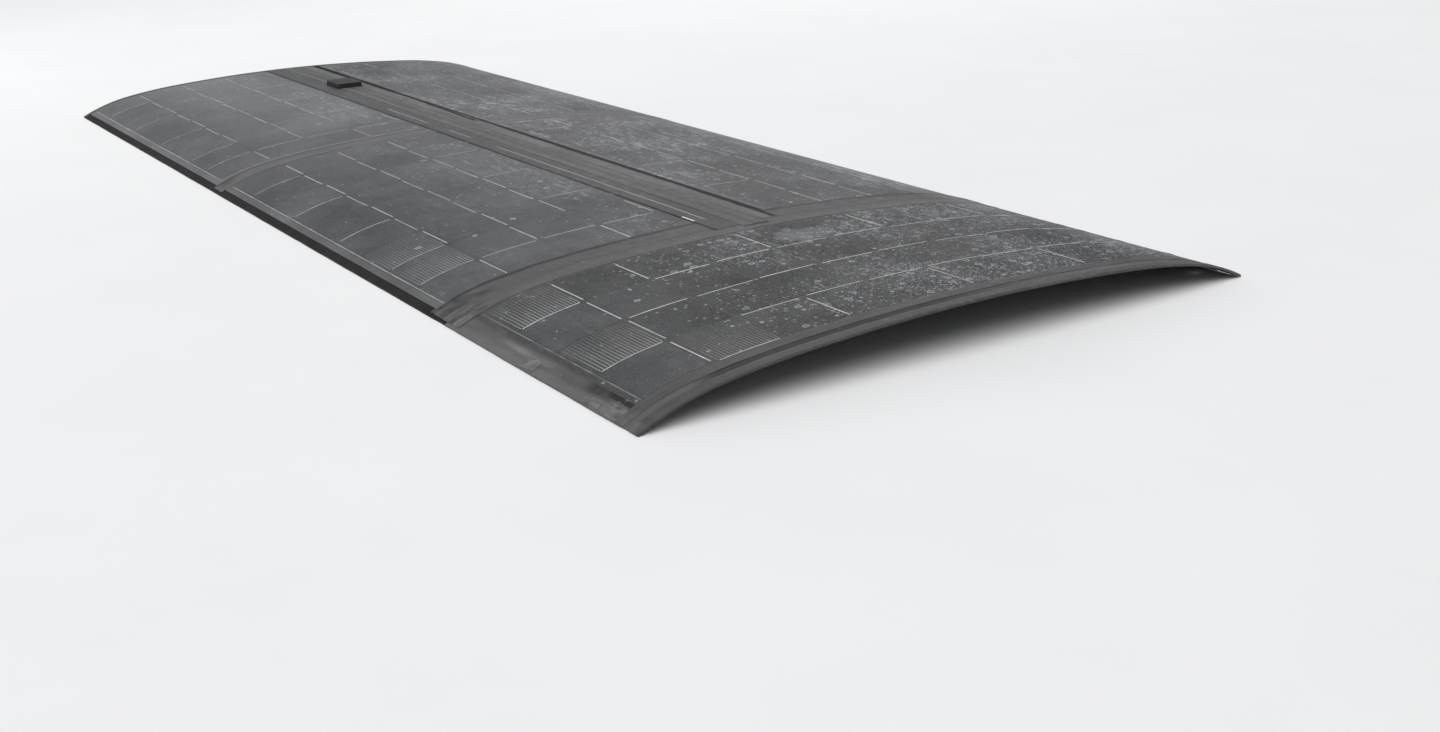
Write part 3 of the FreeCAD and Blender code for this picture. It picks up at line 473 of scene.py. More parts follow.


# top_surface: two mottled colours, its dark, its light, its share of dust and painted sheen, and
# its roughness
# line_surface: dull, bright, and its share of dust and painted sheen
# body_surface: two mottled colours, and its roughness
M = {
    "film": top_surface("laminate_film", rgb(0.058, COOL), rgb(0.070), rgb(0.028), rgb(0.120), 1.0),
    "cell": top_surface("cell_foil", rgb(0.046, COOL), rgb(0.062, FAINT_COOL), rgb(0.012, COOL),
                        rgb(0.095, COOL), 1.0),
    "wire": line_surface("cell_wires", rgb(0.052), rgb(0.29), 1.0),
    "tab": line_surface("string_tabs", rgb(0.10), rgb(0.62), 0.6),
    "foil_end": body_surface("bright_foil", rgb(0.75), rgb(0.85), 0.35, metallic=0.3),
    "band": top_surface("band_tape", rgb(0.072), rgb(0.080), rgb(0.010), rgb(0.15), 0.30, 0.55),
    "channel": top_surface("channel_tape", rgb(0.076), rgb(0.086), rgb(0.008), rgb(0.40), 0.30,
                           0.52),
    "flap": top_surface("flap_rubber", rgb(0.078), rgb(0.090), rgb(0.014), rgb(0.20), 0.25, 0.48),
    "trim": top_surface("edge_trim_rubber", rgb(0.058), rgb(0.068), rgb(0.006), rgb(0.13), 0.15,
                        0.52),
    "sealant": body_surface("black_sealant", rgb(0.013), rgb(0.021), 0.55, scale=30.0, grain=0.0004,
                            grain_scale=120.0, specular=0.1),
    "butyl": body_surface("butyl_adhesive", rgb(0.020), rgb(0.030), 0.62, scale=25.0, grain=0.0003,
                          grain_scale=220.0),
    "backsheet": body_surface("black_backsheet", rgb(0.030), rgb(0.040), 0.50),
    "encapsulant": body_surface("encapsulant_edge", rgb(0.085, COOL), rgb(0.10), 0.38),
    "filler": body_surface("filler_rubber", rgb(0.045), rgb(0.060), 0.60),
    "tray": body_surface("channel_tray", rgb(0.035), rgb(0.045), 0.55),
    "jacket": body_surface("cable_jacket", rgb(0.022), rgb(0.030), 0.42),
    "moulded": body_surface("moulded_black", rgb(0.022), rgb(0.028), 0.48, scale=40.0,
                            grain=0.00012, grain_scale=900.0),
    "copper": body_surface("tinned_foil_lead", rgb(0.62, WARM), rgb(0.52), 0.30, scale=90.0,
                           metallic=1.0),
    "steel": body_surface("stainless_pin", rgb(0.60), rgb(0.50), 0.28, scale=200.0, grain=0.00002,
                          metallic=1.0),
    "block": body_surface("terminal_grey", rgb(0.36), rgb(0.40), 0.40),
    "lever": body_surface("lever_orange", (0.72, 0.20, 0.025, 1), (0.66, 0.17, 0.02, 1), 0.36),
}

# ------------------------------------------------------------------ laminates

PITCH, CELL, CORNER, RIM = 160.0, 156.0, 9.0, 22.0
LONG_SIDE, WIDE_SIDE = 1484.0, 684.0
COLUMNS, ROWS = 9, 4
FILM_UNDER, FILM_TOP = 3.0, 3.3
SUNK = 0.05                                      # how far a print on the film reaches into it
CELL_RAISE, WIRE_RAISE, TAB_RAISE = 0.07, 0.18, 0.12
WIRES, WIRE_PITCH, WIRE_HALF_LENGTH = 19, 7.75, 75.0
TAB_HALF_LENGTH, TAB_HALF_WIDTH, TAB_SHIFT = 69.0, 1.7, 2.0
BUS_HALF_WIDTH, BUS_OVERHANG = 1.4, 6.0
# each laminate's centre (x, s), and which way its columns run: 0 across, 1 rearward, -1 forward
LAMINATES = {
    "front": (1539.0, -13.0, 0),
    "mid_left": (368.0, -437.0, 1),
    "mid_right": (368.0, 437.0, -1),
    "rear_left": (-1181.0, -437.0, 1),
    "rear_right": (-1181.0, 437.0, -1),
}


def string_path():
    """Return the cells (row, column) in the order in which the string joins them."""
    path = [(1, 2), (1, 1), (2, 1), (2, 2), (3, 2), (3, 1), (4, 1), (4, 2)]
    for column in range(3, COLUMNS + 1):
        rows = range(ROWS, 0, -1) if column % 2 else range(1, ROWS + 1)
        path += [(row, column) for row in rows]
    return path


def lie(laminate, u0, u1, v0, v1):
    """Turn a box in columns and rows into (x0, x1, s0, s1)."""
    x, s, turn = LAMINATES[laminate]
    long_half, wide_half = LONG_SIDE / 2 - RIM, WIDE_SIDE / 2 - RIM
    if turn == 0:
        return x + wide_half - v1, x + wide_half - v0, s - long_half + u0, s - long_half + u1
    if turn > 0:
        return x + long_half - u1, x + long_half - u0, s + wide_half - v1, s + wide_half - v0
    return x - long_half + u0, x - long_half + u1, s - wide_half + v0, s - wide_half + v1


def cells_and_tabs(laminate):
    """Return each cell's box and its tab's box, both as (x0, x1, s0, s1)."""
    gap = (PITCH - CELL) / 2
    previous = (0, 2)
    found = []
    for row, column in string_path():
        u, v = (column - 0.5) * PITCH, (row - 0.5) * PITCH
        u0, v0 = u - PITCH / 2 + gap, v - PITCH / 2 + gap
        if row != previous[0]:
            v += (row - previous[0]) * (TAB_SHIFT - PITCH / 2)
            half_u, half_v = TAB_HALF_LENGTH, TAB_HALF_WIDTH
        else:
            u += (column - previous[1]) * (TAB_SHIFT - PITCH / 2)
            half_u, half_v = TAB_HALF_WIDTH, TAB_HALF_LENGTH
        found.append((lie(laminate, u0, u0 + CELL, v0, v0 + CELL),
                      lie(laminate, u - half_u, u + half_u, v - half_v, v + half_v)))
        previous = (row, column)
    return found


def film_face(laminate):
    """The laminate's top film: its rim has its own tone, and between the cells it is dark."""
    x, s, turn = LAMINATES[laminate]
    half_x, half_s = LONG_SIDE / 2, WIDE_SIDE / 2
    if turn == 0:
        half_x, half_s = half_s, half_x
    rim = -0.5 if laminate == "front" else 0.40

    def inside(value, middle, half):
        return within(value, middle - half + RIM - 4, middle + half - RIM + 4, 4)

    def shade(grid_x, grid_s):
        field = inside(grid_x, x, half_x) * inside(grid_s, s, half_s)
        return -0.5 * field + rim * (1 - field) + 0.15 * TONE(grid_x, grid_s, 120)

    def edges(middle, half):
        return (middle - half + RIM - 6, middle - half + RIM - 2,
                middle + half - RIM + 2, middle + half - RIM + 6)

    shell = Shell()
    lay_strip(shell, (x - half_x, x + half_x), (s - half_s, s + half_s), (FILM_UNDER, FILM_TOP),
              step=(16.0, 9.0), wander=0.25, seed=1, lift=swell, shade=shade, radius=0.8,
              rim_shade=0.0, extra_x=edges(x, half_x), extra_s=edges(s, half_s))
    shell.build(laminate + "_film_face", "film", "top_film", laminate + "_top_film")


def cell_grid(box):
    """Return grids of x and s over one cell with rounded corners, and 0 on its rim, 1 inside."""
    x0, _, s0, _ = box
    rim = np.array([0.0, 0.5, 2.0, 5.0])
    rows = np.concatenate([rim, np.linspace(CORNER, CELL - CORNER, 15), CELL - rim[::-1]])
    columns = np.concatenate([rim, np.linspace(CORNER, CELL - CORNER, 5), CELL - rim[::-1]]) / CELL
    near_end = np.clip(CORNER - np.minimum(rows, CELL - rows), 0, CORNER)
    inset = CORNER - np.sqrt(CORNER ** 2 - near_end ** 2)
    s = np.broadcast_to(s0 + rows, (len(columns), len(rows)))
    x = x0 + inset[None, :] + columns[:, None] * (CELL - 2 * inset[None, :])
    inside = np.minimum(np.minimum(rows, CELL - rows)[None, :],
                        (np.minimum(columns, 1 - columns) * CELL)[:, None])
    return x, s, np.clip(inside / 0.5, 0, 1)


def cast(laminate, x, s):
    """A slow change of tone over a laminate, as if its cells came from different lots."""
    soft = 0.20 * TONE(x, s + 80, 420) + 0.15 * TONE(x + 130, s, 150)
    return soft - (0.9 * np.clip((s + 620) / 300, 0, 1) if laminate == "front" else 0.0)


def cell_faces(laminate, rng):
    """The cells as they show through the film, each of its own tone."""
    shell = Shell()
    for box, _ in cells_and_tabs(laminate):
        x, s, inside = cell_grid(box)
        top = FILM_TOP - SUNK + (CELL_RAISE + SUNK) * inside + swell(x, s)
        tone = 0.2 * rng.uniform(-1, 1) + 0.25 * TONE(x + 50, s, 60) + cast(laminate, x, s)
        shell.slab(x, s, top, FILM_TOP - 2 * SUNK, tone)
    shell.build(laminate + "_cell_faces", "cell", "solar_cell", laminate + "_cells")


def wire_run(box, tab):
    """Say whether a cell's wires run along x, and on which side of the cell its tab lies."""
    tab_x = (tab[0] + tab[1] - box[0] - box[1]) / 2
    tab_s = (tab[2] + tab[3] - box[2] - box[3]) / 2
    along_x = abs(tab_x) > abs(tab_s)
    return along_x, math.copysign(1, tab_x if along_x else tab_s)


def wire_glint(x, s):
    """How strongly the painted glint of a cell's wires shows: most at the left edge and towards the
    front.
    """
    across = np.interp(s, (-640, -500, -340, -180), (1.0, 0.15, 0.03, 0.02))
    along = np.interp(x, (-1300, 500, 700, 1290, 1700, 1779), (0.06, 0.14, 0.75, 1.0, 1.0, 4.0))
    return min(1.0, across * along)


def cell_wires(laminate, rng):
    """The fine wires of each cell: they leave its tab and fade towards the far edge."""
    shell = Shell()
    for box, tab in cells_and_tabs(laminate):
        middle = (box[0] + box[1]) / 2, (box[2] + box[3]) / 2
        along_x, side = wire_run(box, tab)
        # the wires' brightness is a painted glint: weaker on wires along s than along x, and set by
        # place
        glint_strength = rng.uniform(0.85, 1.0) * (1.0 if along_x else 0.45) * wire_glint(*middle)
        for number in range(WIRES):
            offset = (number - (WIRES - 1) / 2) * WIRE_PITCH + rng.normal(0, 0.12)
            add_wire(shell, middle, side, along_x, offset, glint_strength)
    shell.build(laminate + "_cell_wires", "wire", "tinned_ribbon")


def add_wire(shell, middle, side, along_x, offset, glint_strength):
    """Add one wire as a low ridge that grows thinner away from the tab."""
    across, profile = np.array([-0.5, 0.0, 0.5]), np.array([-0.2, 1.0, -0.2])
    if along_x:
        line = np.linspace(-WIRE_HALF_LENGTH, WIRE_HALF_LENGTH, 6)
    else:
        line = np.linspace(CORNER, CELL - CORNER, 15) - CELL / 2
    away = np.abs(line - side * WIRE_HALF_LENGTH) / (2 * WIRE_HALF_LENGTH)
    away = np.clip(away, 0, 1)[:, None]
    width = (2.6 if along_x else 1.6) * (1 - 0.70 * away)
    ridge = WIRE_RAISE * (1 - 0.5 * away) * profile
    bright = glint_strength * (1 - 0.5 * away) + 0 * across
    run, beside = line[:, None] + 0 * across, offset + width * across
    if along_x:
        x, s = middle[0] + run, middle[1] + beside
    else:
        x, s, ridge, bright = middle[0] + beside.T, middle[1] + run.T, ridge.T, bright.T
    shell.slab(x, s, FILM_TOP + CELL_RAISE + swell(x, s) + ridge, FILM_TOP - SUNK, bright)


def string_tabs(laminate, rng):
    """The tabs that join the string and the two bus bars, as they show through the film."""
    shell = Shell()
    for _, box in cells_and_tabs(laminate):
        forward = np.interp(box[0], (-1300, 900, 1250), (0.6, 0.8, 1.0))
        add_tab(shell, box, rng.uniform(0.65, 1.0) * forward)
    long_side, wide_side = COLUMNS * PITCH, ROWS * PITCH
    clear, bright = (3.4, 0.12) if laminate == "front" else (0.6, 0.45)
    long_bus = wide_side + clear - BUS_HALF_WIDTH, wide_side + clear + BUS_HALF_WIDTH
    add_tab(shell, lie(laminate, -BUS_OVERHANG, long_side, *long_bus), bright)
    add_tab(shell, lie(laminate, -4.4, -1.6, 0.0, wide_side), bright)
    shell.build(laminate + "_string_tabs", "tab", "tinned_ribbon", laminate + "_ribbons")


def add_tab(shell, box, bright):
    """Add one flat tinned strip with softened ends and edges."""
    def shade(x, s):
        return bright + 0.25 * TONE(x, s, 9)

    lay_strip(shell, box[:2], box[2:], (FILM_TOP - SUNK, FILM_TOP + CELL_RAISE + TAB_RAISE),
              step=(26.0, 10.0), seed=2, lift=swell, shade=shade, radius=0.8, rim_shade=-0.3)


# ------------------------------------------------------------------ bands between the laminates

BAND_REACH, REAR_BAND_REACH = 794.0, 791.0
GROOVE_X = 1088.0                                # a groove along the front band
SEAM_X = -437.0                                  # the line along the rear band


def wrinkle_highlights_and_shade(x, s):
    """Painted highlights on the ridges and painted shade in the valleys where a band goes over the
    side, and a painted sheen on the right.
    """
    end = np.clip((np.abs(s) - 660) / 90, 0, 1)
    # a painted sheen on the right side
    painted_sheen_side = 0.55 * np.clip((s - 560) / 100, 0, 1)
    return end * (1.5 * creases(x, s, 24, 60) - 1.0 * creases(x + 300, s, 34, 44) - 0.1) + painted_sheen_side


def front_band():
    """Two lapped tapes across the front of the mid laminates."""
    folds = [(1136, -690, 26, 34, 1.1), (1105, -725, 20, 22, 0.9), (1180, -715, 22, 28, 0.8),
             (1128, 700, 30, 30, 0.7)]

    def crumple(x, s):
        end = np.clip((np.abs(s) - 640) / 110, 0, 1)
        return end * (1.9 * creases(x, s, 24, 60) + 0.7 * creases(x, s, 60, 26))

    def rear_lift(x, s):
        groove = -0.7 * np.exp(-((x - GROOVE_X) / 6.0) ** 2)
        return groove + 0.12 * CREASE(x, s, 40, 120) + crumple(x, s) + bumps(x, s, folds)

    def rear_shade(x, s):
        # painted shade along the groove at GROOVE_X, and painted shade in the folds near the left
        # end
        line = -0.95 * np.exp(-((x - GROOVE_X - 2 * EDGE(s, 3, 60)) / 7.5) ** 2)
        painted_fold_shadow = -0.5 * bumps(x, s, [(1136, -685, 16, 26, 1.0), (1100, -735, 14, 16, 1.0)])
        return line + painted_fold_shadow + wrinkle_highlights_and_shade(x, s) + 0.15 * TONE(x, s, 35, 160)

    def front_lift(x, s):
        return 0.15 * CREASE(x, s, 30, 140) + crumple(x, s) + bumps(x, s, folds)

    def front_shade(x, s):
        edge = -0.75 * np.clip((x - 1213.0) / 2.0, 0, 1) + 0.12 * within(x, 1180, 1208, 16)
        # painted shade in a fold near the left end
        painted_fold_shade = -0.35 * bumps(x, s, [(1160, -715, 20, 20, 1.0)])
        return edge + painted_fold_shade + wrinkle_highlights_and_shade(x, s) + 0.10 + 0.12 * TONE(x, s, 30, 200)

    reach = (-BAND_REACH, BAND_REACH)
    shell = Shell()
    lay_strip(shell, (1149, 1216), reach, (3.2, 4.0), step=(7.0, 9.0), wander=0.8, seed=3,
              lift=front_lift, shade=front_shade, rim_shade=-0.8)
    shell.build("front_band_front_lap", "band", "cover_tape", "front_band_front_tape")
    shell = Shell()
    lay_strip(shell, (1077, 1157), reach, (3.3, 4.3), step=(6.0, 9.0), wander=0.8, seed=4,
              lift=rear_lift, shade=rear_shade, rim_shade=-0.8)
    shell.build("front_band_rear_lap", "band", "cover_tape", "front_band_rear_tape")


def rear_band():
    """The tape across the joint of mid and rear laminates, and its patch on the left."""
    def lift(x, s):
        end = np.clip((np.abs(s) - 640) / 130, 0, 1)
        groove = -0.5 * np.exp(-((x - SEAM_X - 1) / 4.0) ** 2)
        return groove + 0.15 * CREASE(x, s, 30, 150) + 1.0 * end * creases(x, s, 24, 40)

    def shade(x, s):
        # painted shade along the groove at the seam, and painted shade in the fold at the left end
        line = -1.0 * np.exp(-((x - SEAM_X) / 7.0) ** 2)
        painted_fold_shade = -0.9 * bumps(x, s, [(-420, -752, 20, 34, 1.0)])
        return line + painted_fold_shade + 0.5 + 0.12 * TONE(x, s, 30, 150)

    def patch_shade(x, s):
        # painted shade at the end of the patch, and in its fold at the left end
        patch_end_shade = -1.0 * bumps(x, s, [(-369, -383, 5, 7, 1.0)])
        painted_fold_shade = -0.8 * bumps(x, s, [(-410, -760, 18, 26, 1.0)])
        return 0.5 + patch_end_shade + painted_fold_shade + 0.12 * TONE(x, s, 30, 150)

    shell = Shell()
    lay_strip(shell, (-441, -366), (-REAR_BAND_REACH, REAR_BAND_REACH), (3.3, 4.0),
              step=(7.0, 9.0), wander=0.8, seed=5, lift=lift, shade=shade, rim_shade=-0.8)
    shell.build("rear_band_lap", "band", "cover_tape", "rear_band_tape")
    shell = Shell()
    lay_strip(shell, (-416, -366.5), (-REAR_BAND_REACH, -379), (3.9, 4.7),
              step=(7.0, 9.0), wander=0.9, seed=6, lift=lift, shade=patch_shade, rim_shade=-0.8)
    shell.build("rear_band_patch_lap", "band", "cover_tape", "rear_band_patch_tape")


# ------------------------------------------------------------------ edges

END_X = 1944.0                                   # the front end; the rear end is at -END_X
FLAP_INNER = {"left": 751.0, "right": 725.0}     # the flaps' inner edges, round the arch
SIGN = {"left": -1, "right": 1}                  # of s on each side


def front_edge():
    """The lapping tape and the lipped trim at the front end, and the strip between them."""
    def wave(x, s):
        end = np.clip((np.abs(s) - 700) / 100, 0, 1)
        return 0.18 * CREASE(x, s, 20, 110) + 0.5 * end * creases(x, s, 20, 30)

    def ripple(x, s):
        return 0.3 * CREASE(x, s, 9, 26)

    # paler in patches towards both ends of the front edge
    def paler_end(x, s):
        return np.clip((np.abs(s) - 735) / 40, 0, 1) * (0.30 + 0.6 * TONE(x, s, 24, 12))

    def tape_shade(x, s):
        return 0.12 + 0.12 * TONE(x, s, 20, 180) + paler_end(x, s)

    def groove_shade(x, s):
        # painted shade in the groove, which turns into a painted highlight towards the right and at
        # the left end
        lit_share = np.clip((s + 20) / 300, 0, 1) + np.clip((-s - 600) / 60, 0, 1)
        return -0.72 + 1.17 * np.clip(lit_share, 0, 1) + 0.10 * TONE(x, s, 15, 90)

    def trim_shade(x, s):
        return 0.05 + 0.12 * TONE(x + 60, s, 20, 180) + paler_end(x, s)

    shell = Shell()
    lay_strip(shell, (1862, 1893), (-SIDE, SIDE), (3.3, 4.2), step=(5.0, 9.0), wander=0.6,
              seed=7, lift=wave, shade=tape_shade, rim_shade=-0.5)
    shell.build("front_edge_lap", "trim", "cover_tape", "front_edge_tape")
    shell = Shell()
    lay_strip(shell, (1914, END_X), (-SIDE, SIDE), (0.0, 5.2), step=(5.0, 9.0), wander=0.5,
              seed=8, lift=wave, shade=trim_shade, radius=1.6, rim_shade=-0.15)
    shell.build("front_edge_lip", "trim", "edge_trim", "front_edge_trim")
    shell = Shell()
    lay_strip(shell, (1891, 1916), (-801.5, 801.5), (0.2, 3.3), step=(3.0, 9.0), wander=0.3,
              seed=9, lift=ripple, shade=groove_shade, radius=1.2, rim_shade=0.0)
    shell.build("front_edge_groove_seal", "trim", "edge_trim")


def rear_edge():
    """The plain trim across the rear end."""
    def lift(x, s):
        return 0.15 * CREASE(x, s, 20, 110)

    def shade(x, s):
        return 0.1 * TONE(x, s, 20, 150)

    shell = Shell()
    lay_strip(shell, (-END_X, -1923.3), (-SIDE, SIDE), (0.0, 4.2), step=(5.0, 9.0), wander=0.5,
              seed=10, lift=lift, shade=shade, radius=2.0, rim_shade=-0.5)
    shell.build("rear_edge_lip", "trim", "edge_trim", "rear_edge_trim")


def side_flap(side, rng):
    """The blistered flap beside the front laminate, over its lead."""
    sign, inner = SIGN[side], FLAP_INNER[side]
    blisters = [(rng.uniform(1230, 1860), sign * rng.uniform(762, 796), rng.uniform(9, 34),
                 rng.uniform(4, 10), rng.uniform(0.5, 1.9)) for _ in range(26)]
    worn_spots = [(1450, sign * 768, 55, 7, 1.0), (1560, sign * 770, 25, 5, 0.35)]

    def slot(x, s):
        near = 0.5 * within(x, 1718, 1806, 34) * within(np.abs(s), 752, 775, 10)
        return near + within(x, 1786, 1892, 20) * within(np.abs(s), 751, 763, 7)

    def lift(x, s):
        quiet = within(x, 1180, 1850, 60)
        folds = creases(x, s, 46, 17)
        return bumps(x, s, blisters) + (0.55 + 0.5 * (1 - quiet)) * folds - 0.9 * slot(x, s)

    def shade(x, s):
        line = -0.35 * np.exp(-((s - sign * (inner + 2.5)) / 2.2) ** 2)
        worn = 0.10 * np.clip(bumps(x, s, blisters), 0, 1.5) + 0.8 * bumps(x, s, worn_spots)
        outer = 0.30 * np.clip((np.abs(s) - 776) / 10, 0, 1) + 0.15 * np.clip((x - 1730) / 60, 0, 1)
        # painted shade in the slots, which are dents in the flap
        return line + worn + outer - 1.4 * slot(x, s) + 0.12 * TONE(x, s, 110, 20)

    shell = Shell()
    lay_strip(shell, (1217, 1861), (sign * inner, sign * SIDE), (3.3, 4.0), step=(6.0, 3.5),
              wander=0.9, seed=11 + sign, lift=lift, shade=shade, radius=1.6, rim_shade=-0.5)
    # the block under the flap's outer edge, and the fill at its rear inner corner
    lay_strip(shell, (1160.5, 1881), (sign * 771.0, sign * SIDE), (0.0, 3.6), step=(8.0, 4.0),
              wander=0.5, seed=14 + sign, lift=lift, shade=shade, radius=1.6, rim_shade=-0.5)
    lay_strip(shell, (1198, 1230), (sign * (inner - 4.0), sign * 775.0), (0.2, 3.35),
              step=(8.0, 4.0), radius=1.0, rim_shade=0.0)
    shell.build("side_flap_skin_" + side, "flap", "side_tape", "side_flap_" + side)


def flap_patches(side):
    """Short pieces of tape stuck over the outer edge of the flap."""
    def lift(x, s):
        return 1.3 * creases(x, s, 26, 12)

    def shade(x, s):
        # painted highlights along creases of the patches
        return 0.30 + 0.5 * TONE(x, s, 20, 9) + 0.5 * creases(x + 90, s, 18, 9)

    sign = SIGN[side]
    shell = Shell()
    patches = ((1808, 1866, 770), (1742, 1798, 779), (1500, 1548, 768))
    for number, (rear, front, inner) in enumerate(patches):
        lay_strip(shell, (rear, front), (sign * inner, sign * 800), (3.6, 4.9 + 0.25 * number),
                  step=(4.0, 3.5), wander=1.2, seed=20 + number + sign, lift=lift, shade=shade,
                  radius=1.2, rim_shade=-0.6)
    shell.build("flap_patches_" + side, "flap", "side_tape")


def side_seal(side):
    """The black seal beside the mid and rear laminates, partly a painted shadow of the gap at the
    sheet's edge.
    """
    def lift(x, s):
        return 0.35 * CREASE(x, s, 70, 12) + 0.5 * creases(x, s, 120, 16)

    sign = SIGN[side]
    shell = Shell()
    lay_strip(shell, (-1923, 1160), (sign * 779.3, sign * SIDE), (0.0, 3.0), step=(9.0, 3.5),
              wander=0.6, seed=17 + sign, lift=lift, radius=1.6)
    shell.build("side_seal_skin_" + side, "sealant", "black_sealant", "side_seal_" + side)


# ------------------------------------------------------------------ centre channel

# x of the channel's rear end, and of the rear and front ends of the gap for the cable entry
CHANNEL_END, GAP_REAR, GAP_FRONT = -1922, -1458, -1329
TAPE_OUTER = {"left": 107.0, "right": 77.0}      # the side tapes' outer edges
TAPE_FRONT = {"left": 1168.0, "right": 1149.0}


def channel_cover():
    """The raised cover along the crown line, in front of and behind the cable entry."""
    def lift(x, s):
        sag = 0.18 * CREASE(x, s, 160, 40) - 0.25 * np.exp(-(s / 14.0) ** 2)
        curl = 0.7 * np.clip((x - 1165) / 19, 0, 1) ** 2
        return sag + curl

    def shade(x, s):
        slot = -1.0 * bumps(x, s, [(-376, 30, 20, 2.5, 1.0)])
        lines = -0.5 * np.exp(-((s - 29) / 2.5) ** 2) - 0.35 * np.exp(-(s / 9.0) ** 2)
        return 0.04 + 0.10 * TONE(x, s, 220, 12) + slot + lines

    shell = Shell()
    for x_range in ((GAP_FRONT, 1184), (CHANNEL_END, GAP_REAR)):
        lay_strip(shell, x_range, (-34.5, 34.5), (3.5, 5.2), step=(13.0, 5.0), wander=0.7,
                  seed=30, lift=lift, shade=shade, radius=1.6, rim_shade=-0.9)
    shell.build("channel_cover_skin", "channel", "channel_cover", "channel_cover")


def channel_tape(side):
    """A side tape of the channel; the left one has a pale crease along it, and painted shade along
    its outer edge.
    """
    sign = SIGN[side]
    runs = ((-832, -512), (-352, -192), (-32, 1072))

    def crease_line(x, s):
        if sign > 0:
            return 0.0 * x
        on_run = sum(within(x, low, high, 30) for low, high in runs)
        return on_run * np.exp(-((s + 69 + 0.8 * EDGE(x, 9, 90)) / 2.0) ** 2)

    def lift(x, s):
        return 0.14 * CREASE(x, s, 150, 18) + 0.35 * crease_line(x, s)

    def shade(x, s):
        if sign > 0:
            return 0.06 + 0.12 * TONE(x, s, 200, 10)
        # painted shade of the groove beside the left tape's outer edge
        outer_edge_shade = -1.0 * np.clip((-s - 98.5) / 2.0, 0, 1)
        return outer_edge_shade - 0.35 + 0.12 * TONE(x, s, 200, 10) + 1.35 * crease_line(x, s)

    crease_s = (-101, -98, -74, -72.5, -71, -70, -69, -68, -67, -65.5, -64) if sign < 0 else ()
    outer = sign * TAPE_OUTER[side]
    wide, narrow = (sign * 34.8, outer), (sign * 47.0, outer)
    shell = Shell()
    lay_strip(shell, (GAP_FRONT, TAPE_FRONT[side]), wide, (4.0, 4.65), step=(9.0, 5.0),
              wander=1.0, seed=31 + sign, lift=lift, shade=shade, rim_shade=-0.8,
              extra_s=crease_s)
    lay_strip(shell, (CHANNEL_END, GAP_REAR), wide, (4.0, 4.65), step=(11.0, 6.0), wander=0.8,
              seed=34 + sign, lift=lift, shade=shade, rim_shade=-0.8)
    lay_strip(shell, (GAP_REAR - 2, GAP_FRONT + 2), narrow, (4.0, 4.6), step=(11.0, 6.0),
              wander=0.4, seed=37 + sign, lift=lift, shade=shade, rim_shade=-0.8)
    shell.build("channel_tape_skin_" + side, "channel", "side_tape", "channel_tape_" + side)


def channel_bead():
    """The wavy sealant bead in the groove along the right side, with a floor at the entry."""
    x = np.arange(float(CHANNEL_END), 1147.1, 6.0)
    across = np.linspace(-1, 1, 9)
    drift = np.interp(x, (-1300, -540, -452, -436, -350, -330, -230), (93, 68, 67, 84, 84, 83, 78))
    middle = np.where(x < -230, drift, 78.5) + 1.8 * EDGE(x, 60, 90) + 1.0 * EDGE(x, 66, 25)
    half = 8.6 + 1.0 * EDGE(x, 70, 40)
    s = middle[:, None] + half[:, None] * across[None, :]
    crown = np.sqrt(np.clip(1 - across ** 2, 0, 1))[None, :]
    top = 3.2 + (1.9 + 0.3 * EDGE(x, 75, 30))[:, None] * crown
    shell = Shell()
    shell.slab(x[:, None] + 0 * s, s, top, 1.0)
    lay_strip(shell, (-1472, -1316), (74, 103), (0.2, 2.9), step=(12.0, 6.0))
    shell.build("sealant_bead_skin", "sealant", "black_sealant", "sealant_bead")


def entry_seal():
    """The sealant round the foot of the cable entry housing."""
    rear, front = (-1459.0, -1448.6), (-1331.4, -1327.0)
    inner, outer = 44.6, 48.5
    length = (rear[0], front[1])
    shell = Shell()
    for x_range, s_range in ((rear, (-outer, outer)), (front, (-outer, outer)),
                             (length, (inner, outer)), (length, (-outer, -inner))):
        lay_strip(shell, x_range, s_range, (1.0, 3.6), step=(8.0, 8.0), radius=0.8)
    shell.build("entry_foot_seal", "sealant", "black_sealant")


def foil_end():
    """The bright end of a foil lead that shows at the front of the channel."""
    def lift(x, s):
        return 0.15 * creases(x, s, 20, 4)

    shell = Shell()
    lay_strip(shell, (1016, 1069), (-101.5, -96.0), (4.4, 4.9), step=(9.0, 2.0), wander=0.4,
              seed=40, lift=lift, radius=0.8, rim_shade=0.0)
    shell.build("foil_lead_end", "foil_end", "tinned_ribbon")


# ------------------------------------------------------------------ CAD nodes that stay

STAYING = {
    "_adhesive": "butyl", "_backsheet": "backsheet", "_encapsulant": "encapsulant",
    "band_filler": "filler", "channel_tray": "tray", "trunk_cable": "jacket",
    "front_lead": "jacket", "terminal_pods": "moulded", "foil_leads": "copper",
    "entry_housing": "moulded", "entry_lid": "moulded", "entry_hinge_pin": "steel",
    "terminal_block": "block", "terminal_lever": "lever",
}


def finish_cad_nodes():
    """Give each CAD node that still shows its material."""
    for name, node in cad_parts.items():
        for part, material in STAYING.items():
            if part in name:
                node.data.materials.clear()
                node.data.materials.append(M[material])


def soft_edged(name, body):
    """Stand a copy of a moulded CAD node in its place, with its sharp edges broken."""
    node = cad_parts[name]
    piece = bpy.data.objects.new(name + "_moulding", node.data.copy())
    bpy.context.scene.collection.objects.link(piece)
    weld = piece.modifiers.new("weld", "WELD")
    weld.merge_threshold = 0.00001
    bevel = piece.modifiers.new("bevel", "BEVEL")
    bevel.width = 0.0006
    bevel.segments = 2
    bevel.limit_method = "ANGLE"
    bevel.angle_limit = math.radians(SHARP_ANGLE)
    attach(piece, body)
    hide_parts(name)


# ------------------------------------------------------------------ studio

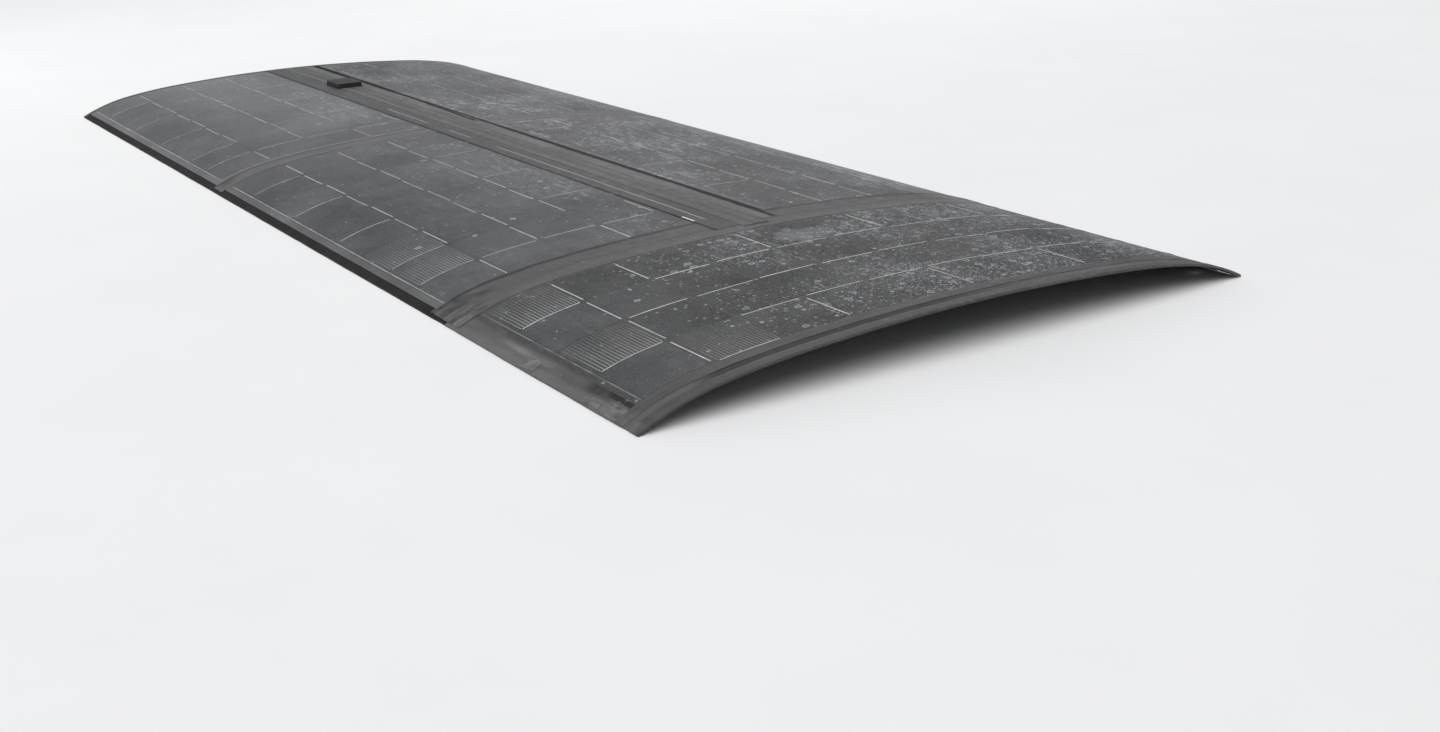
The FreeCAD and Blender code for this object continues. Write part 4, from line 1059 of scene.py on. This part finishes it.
def floor():
    """A plain pale floor under the sheet."""
    n = Nodes("studio_floor")
    material = n.finish(mottled(n, rgb(0.84), rgb(0.86), 1.5), 0.75, None, 0.0, 0.2)
    mesh = bpy.data.meshes.new("studio_floor")
    half = 150.0
    corners = [(-half, -half, 0), (half, -half, 0), (half, half, 0), (-half, half, 0)]
    mesh.from_pydata(corners, [], [(0, 1, 2, 3)])
    mesh.materials.append(material)
    ground = bpy.data.objects.new("studio_floor", mesh)
    bpy.context.scene.collection.objects.link(ground)
    ground.location.z = -0.0005


def camera():
    """Look at the sheet from the photograph's side: from the front left, a little above it."""
    yaw, pitch, roll = 2.554, 0.34, -0.023
    ahead = Vector((math.cos(yaw) * math.cos(pitch), math.sin(yaw) * math.cos(pitch),
                    -math.sin(pitch)))
    level = ahead.cross(Vector((0, 0, 1))).normalized()
    upward = level.cross(ahead)
    right = math.cos(roll) * level + math.sin(roll) * upward
    up = math.cos(roll) * upward - math.sin(roll) * level
    data = bpy.data.cameras.new("camera")
    data.sensor_width = 36.0
    data.lens = 39.58
    data.clip_start, data.clip_end = 0.05, 200.0
    cam = bpy.data.objects.new("camera", data)
    rotation = Matrix((right, up, -ahead)).transposed().to_4x4()
    cam.matrix_world = Matrix.Translation((4.1294, -2.0739, 1.0217)) @ rotation
    bpy.context.scene.collection.objects.link(cam)
    bpy.context.scene.camera = cam


def softbox(name, place, target, size, watts):
    """One large soft light."""
    data = bpy.data.lights.new(name, "AREA")
    data.shape = "RECTANGLE"
    data.size, data.size_y = size
    data.energy = watts
    light = bpy.data.objects.new(name, data)
    light.location = place
    aim = Vector(target) - Vector(place)
    light.rotation_mode = "QUATERNION"
    light.rotation_quaternion = aim.to_track_quat("-Z", "Y")
    bpy.context.scene.collection.objects.link(light)


def studio():
    """Soft light from above, a broad box behind for the sheen, and a pale world."""
    sun = bpy.data.lights.new("overhead", "SUN")
    sun.angle = math.radians(75)
    sun.energy = 2.1
    overhead = bpy.data.objects.new("overhead", sun)
    overhead.rotation_euler = (math.radians(12), math.radians(14), 0)
    bpy.context.scene.collection.objects.link(overhead)
    softbox("behind_right", (-4.5, 4.0, 2.6), (0.4, 0.2, 0.1), (4.5, 2.5), 28)
    softbox("behind_left", (-4.2, -3.4, 2.6), (-1.0, -0.5, 0.1), (3.0, 2.5), 42)
    softbox("front_left", (4.5, -4.5, 3.0), (0.8, 0, 0), (4.0, 3.0), 9)
    world = bpy.data.worlds.new("studio_world")
    world.use_nodes = True
    background = world.node_tree.nodes["Background"]
    background.inputs["Color"].default_value = (0.95, 0.97, 1.0, 1.0)
    background.inputs["Strength"].default_value = 0.34
    bpy.context.scene.world = world
    bpy.context.scene.view_settings.view_transform = "Standard"


# ------------------------------------------------------------------ everything

def build():
    """Make all pieces, in a fixed order so that the random draws repeat."""
    rng = np.random.default_rng(21)
    for laminate in LAMINATES:
        film_face(laminate)
        cell_faces(laminate, rng)
        cell_wires(laminate, rng)
        string_tabs(laminate, rng)
    front_band()
    rear_band()
    front_edge()
    rear_edge()
    for side in SIGN:
        side_flap(side, rng)
        flap_patches(side)
    for side in SIGN:
        side_seal(side)
    channel_cover()
    for side in SIGN:
        channel_tape(side)
    channel_bead()
    entry_seal()
    foil_end()
    finish_cad_nodes()
    soft_edged("entry_housing", "sheet")
    soft_edged("entry_lid", "lid")
    soft_edged("terminal_block", "sheet")


camera()
studio()
floor()
build()
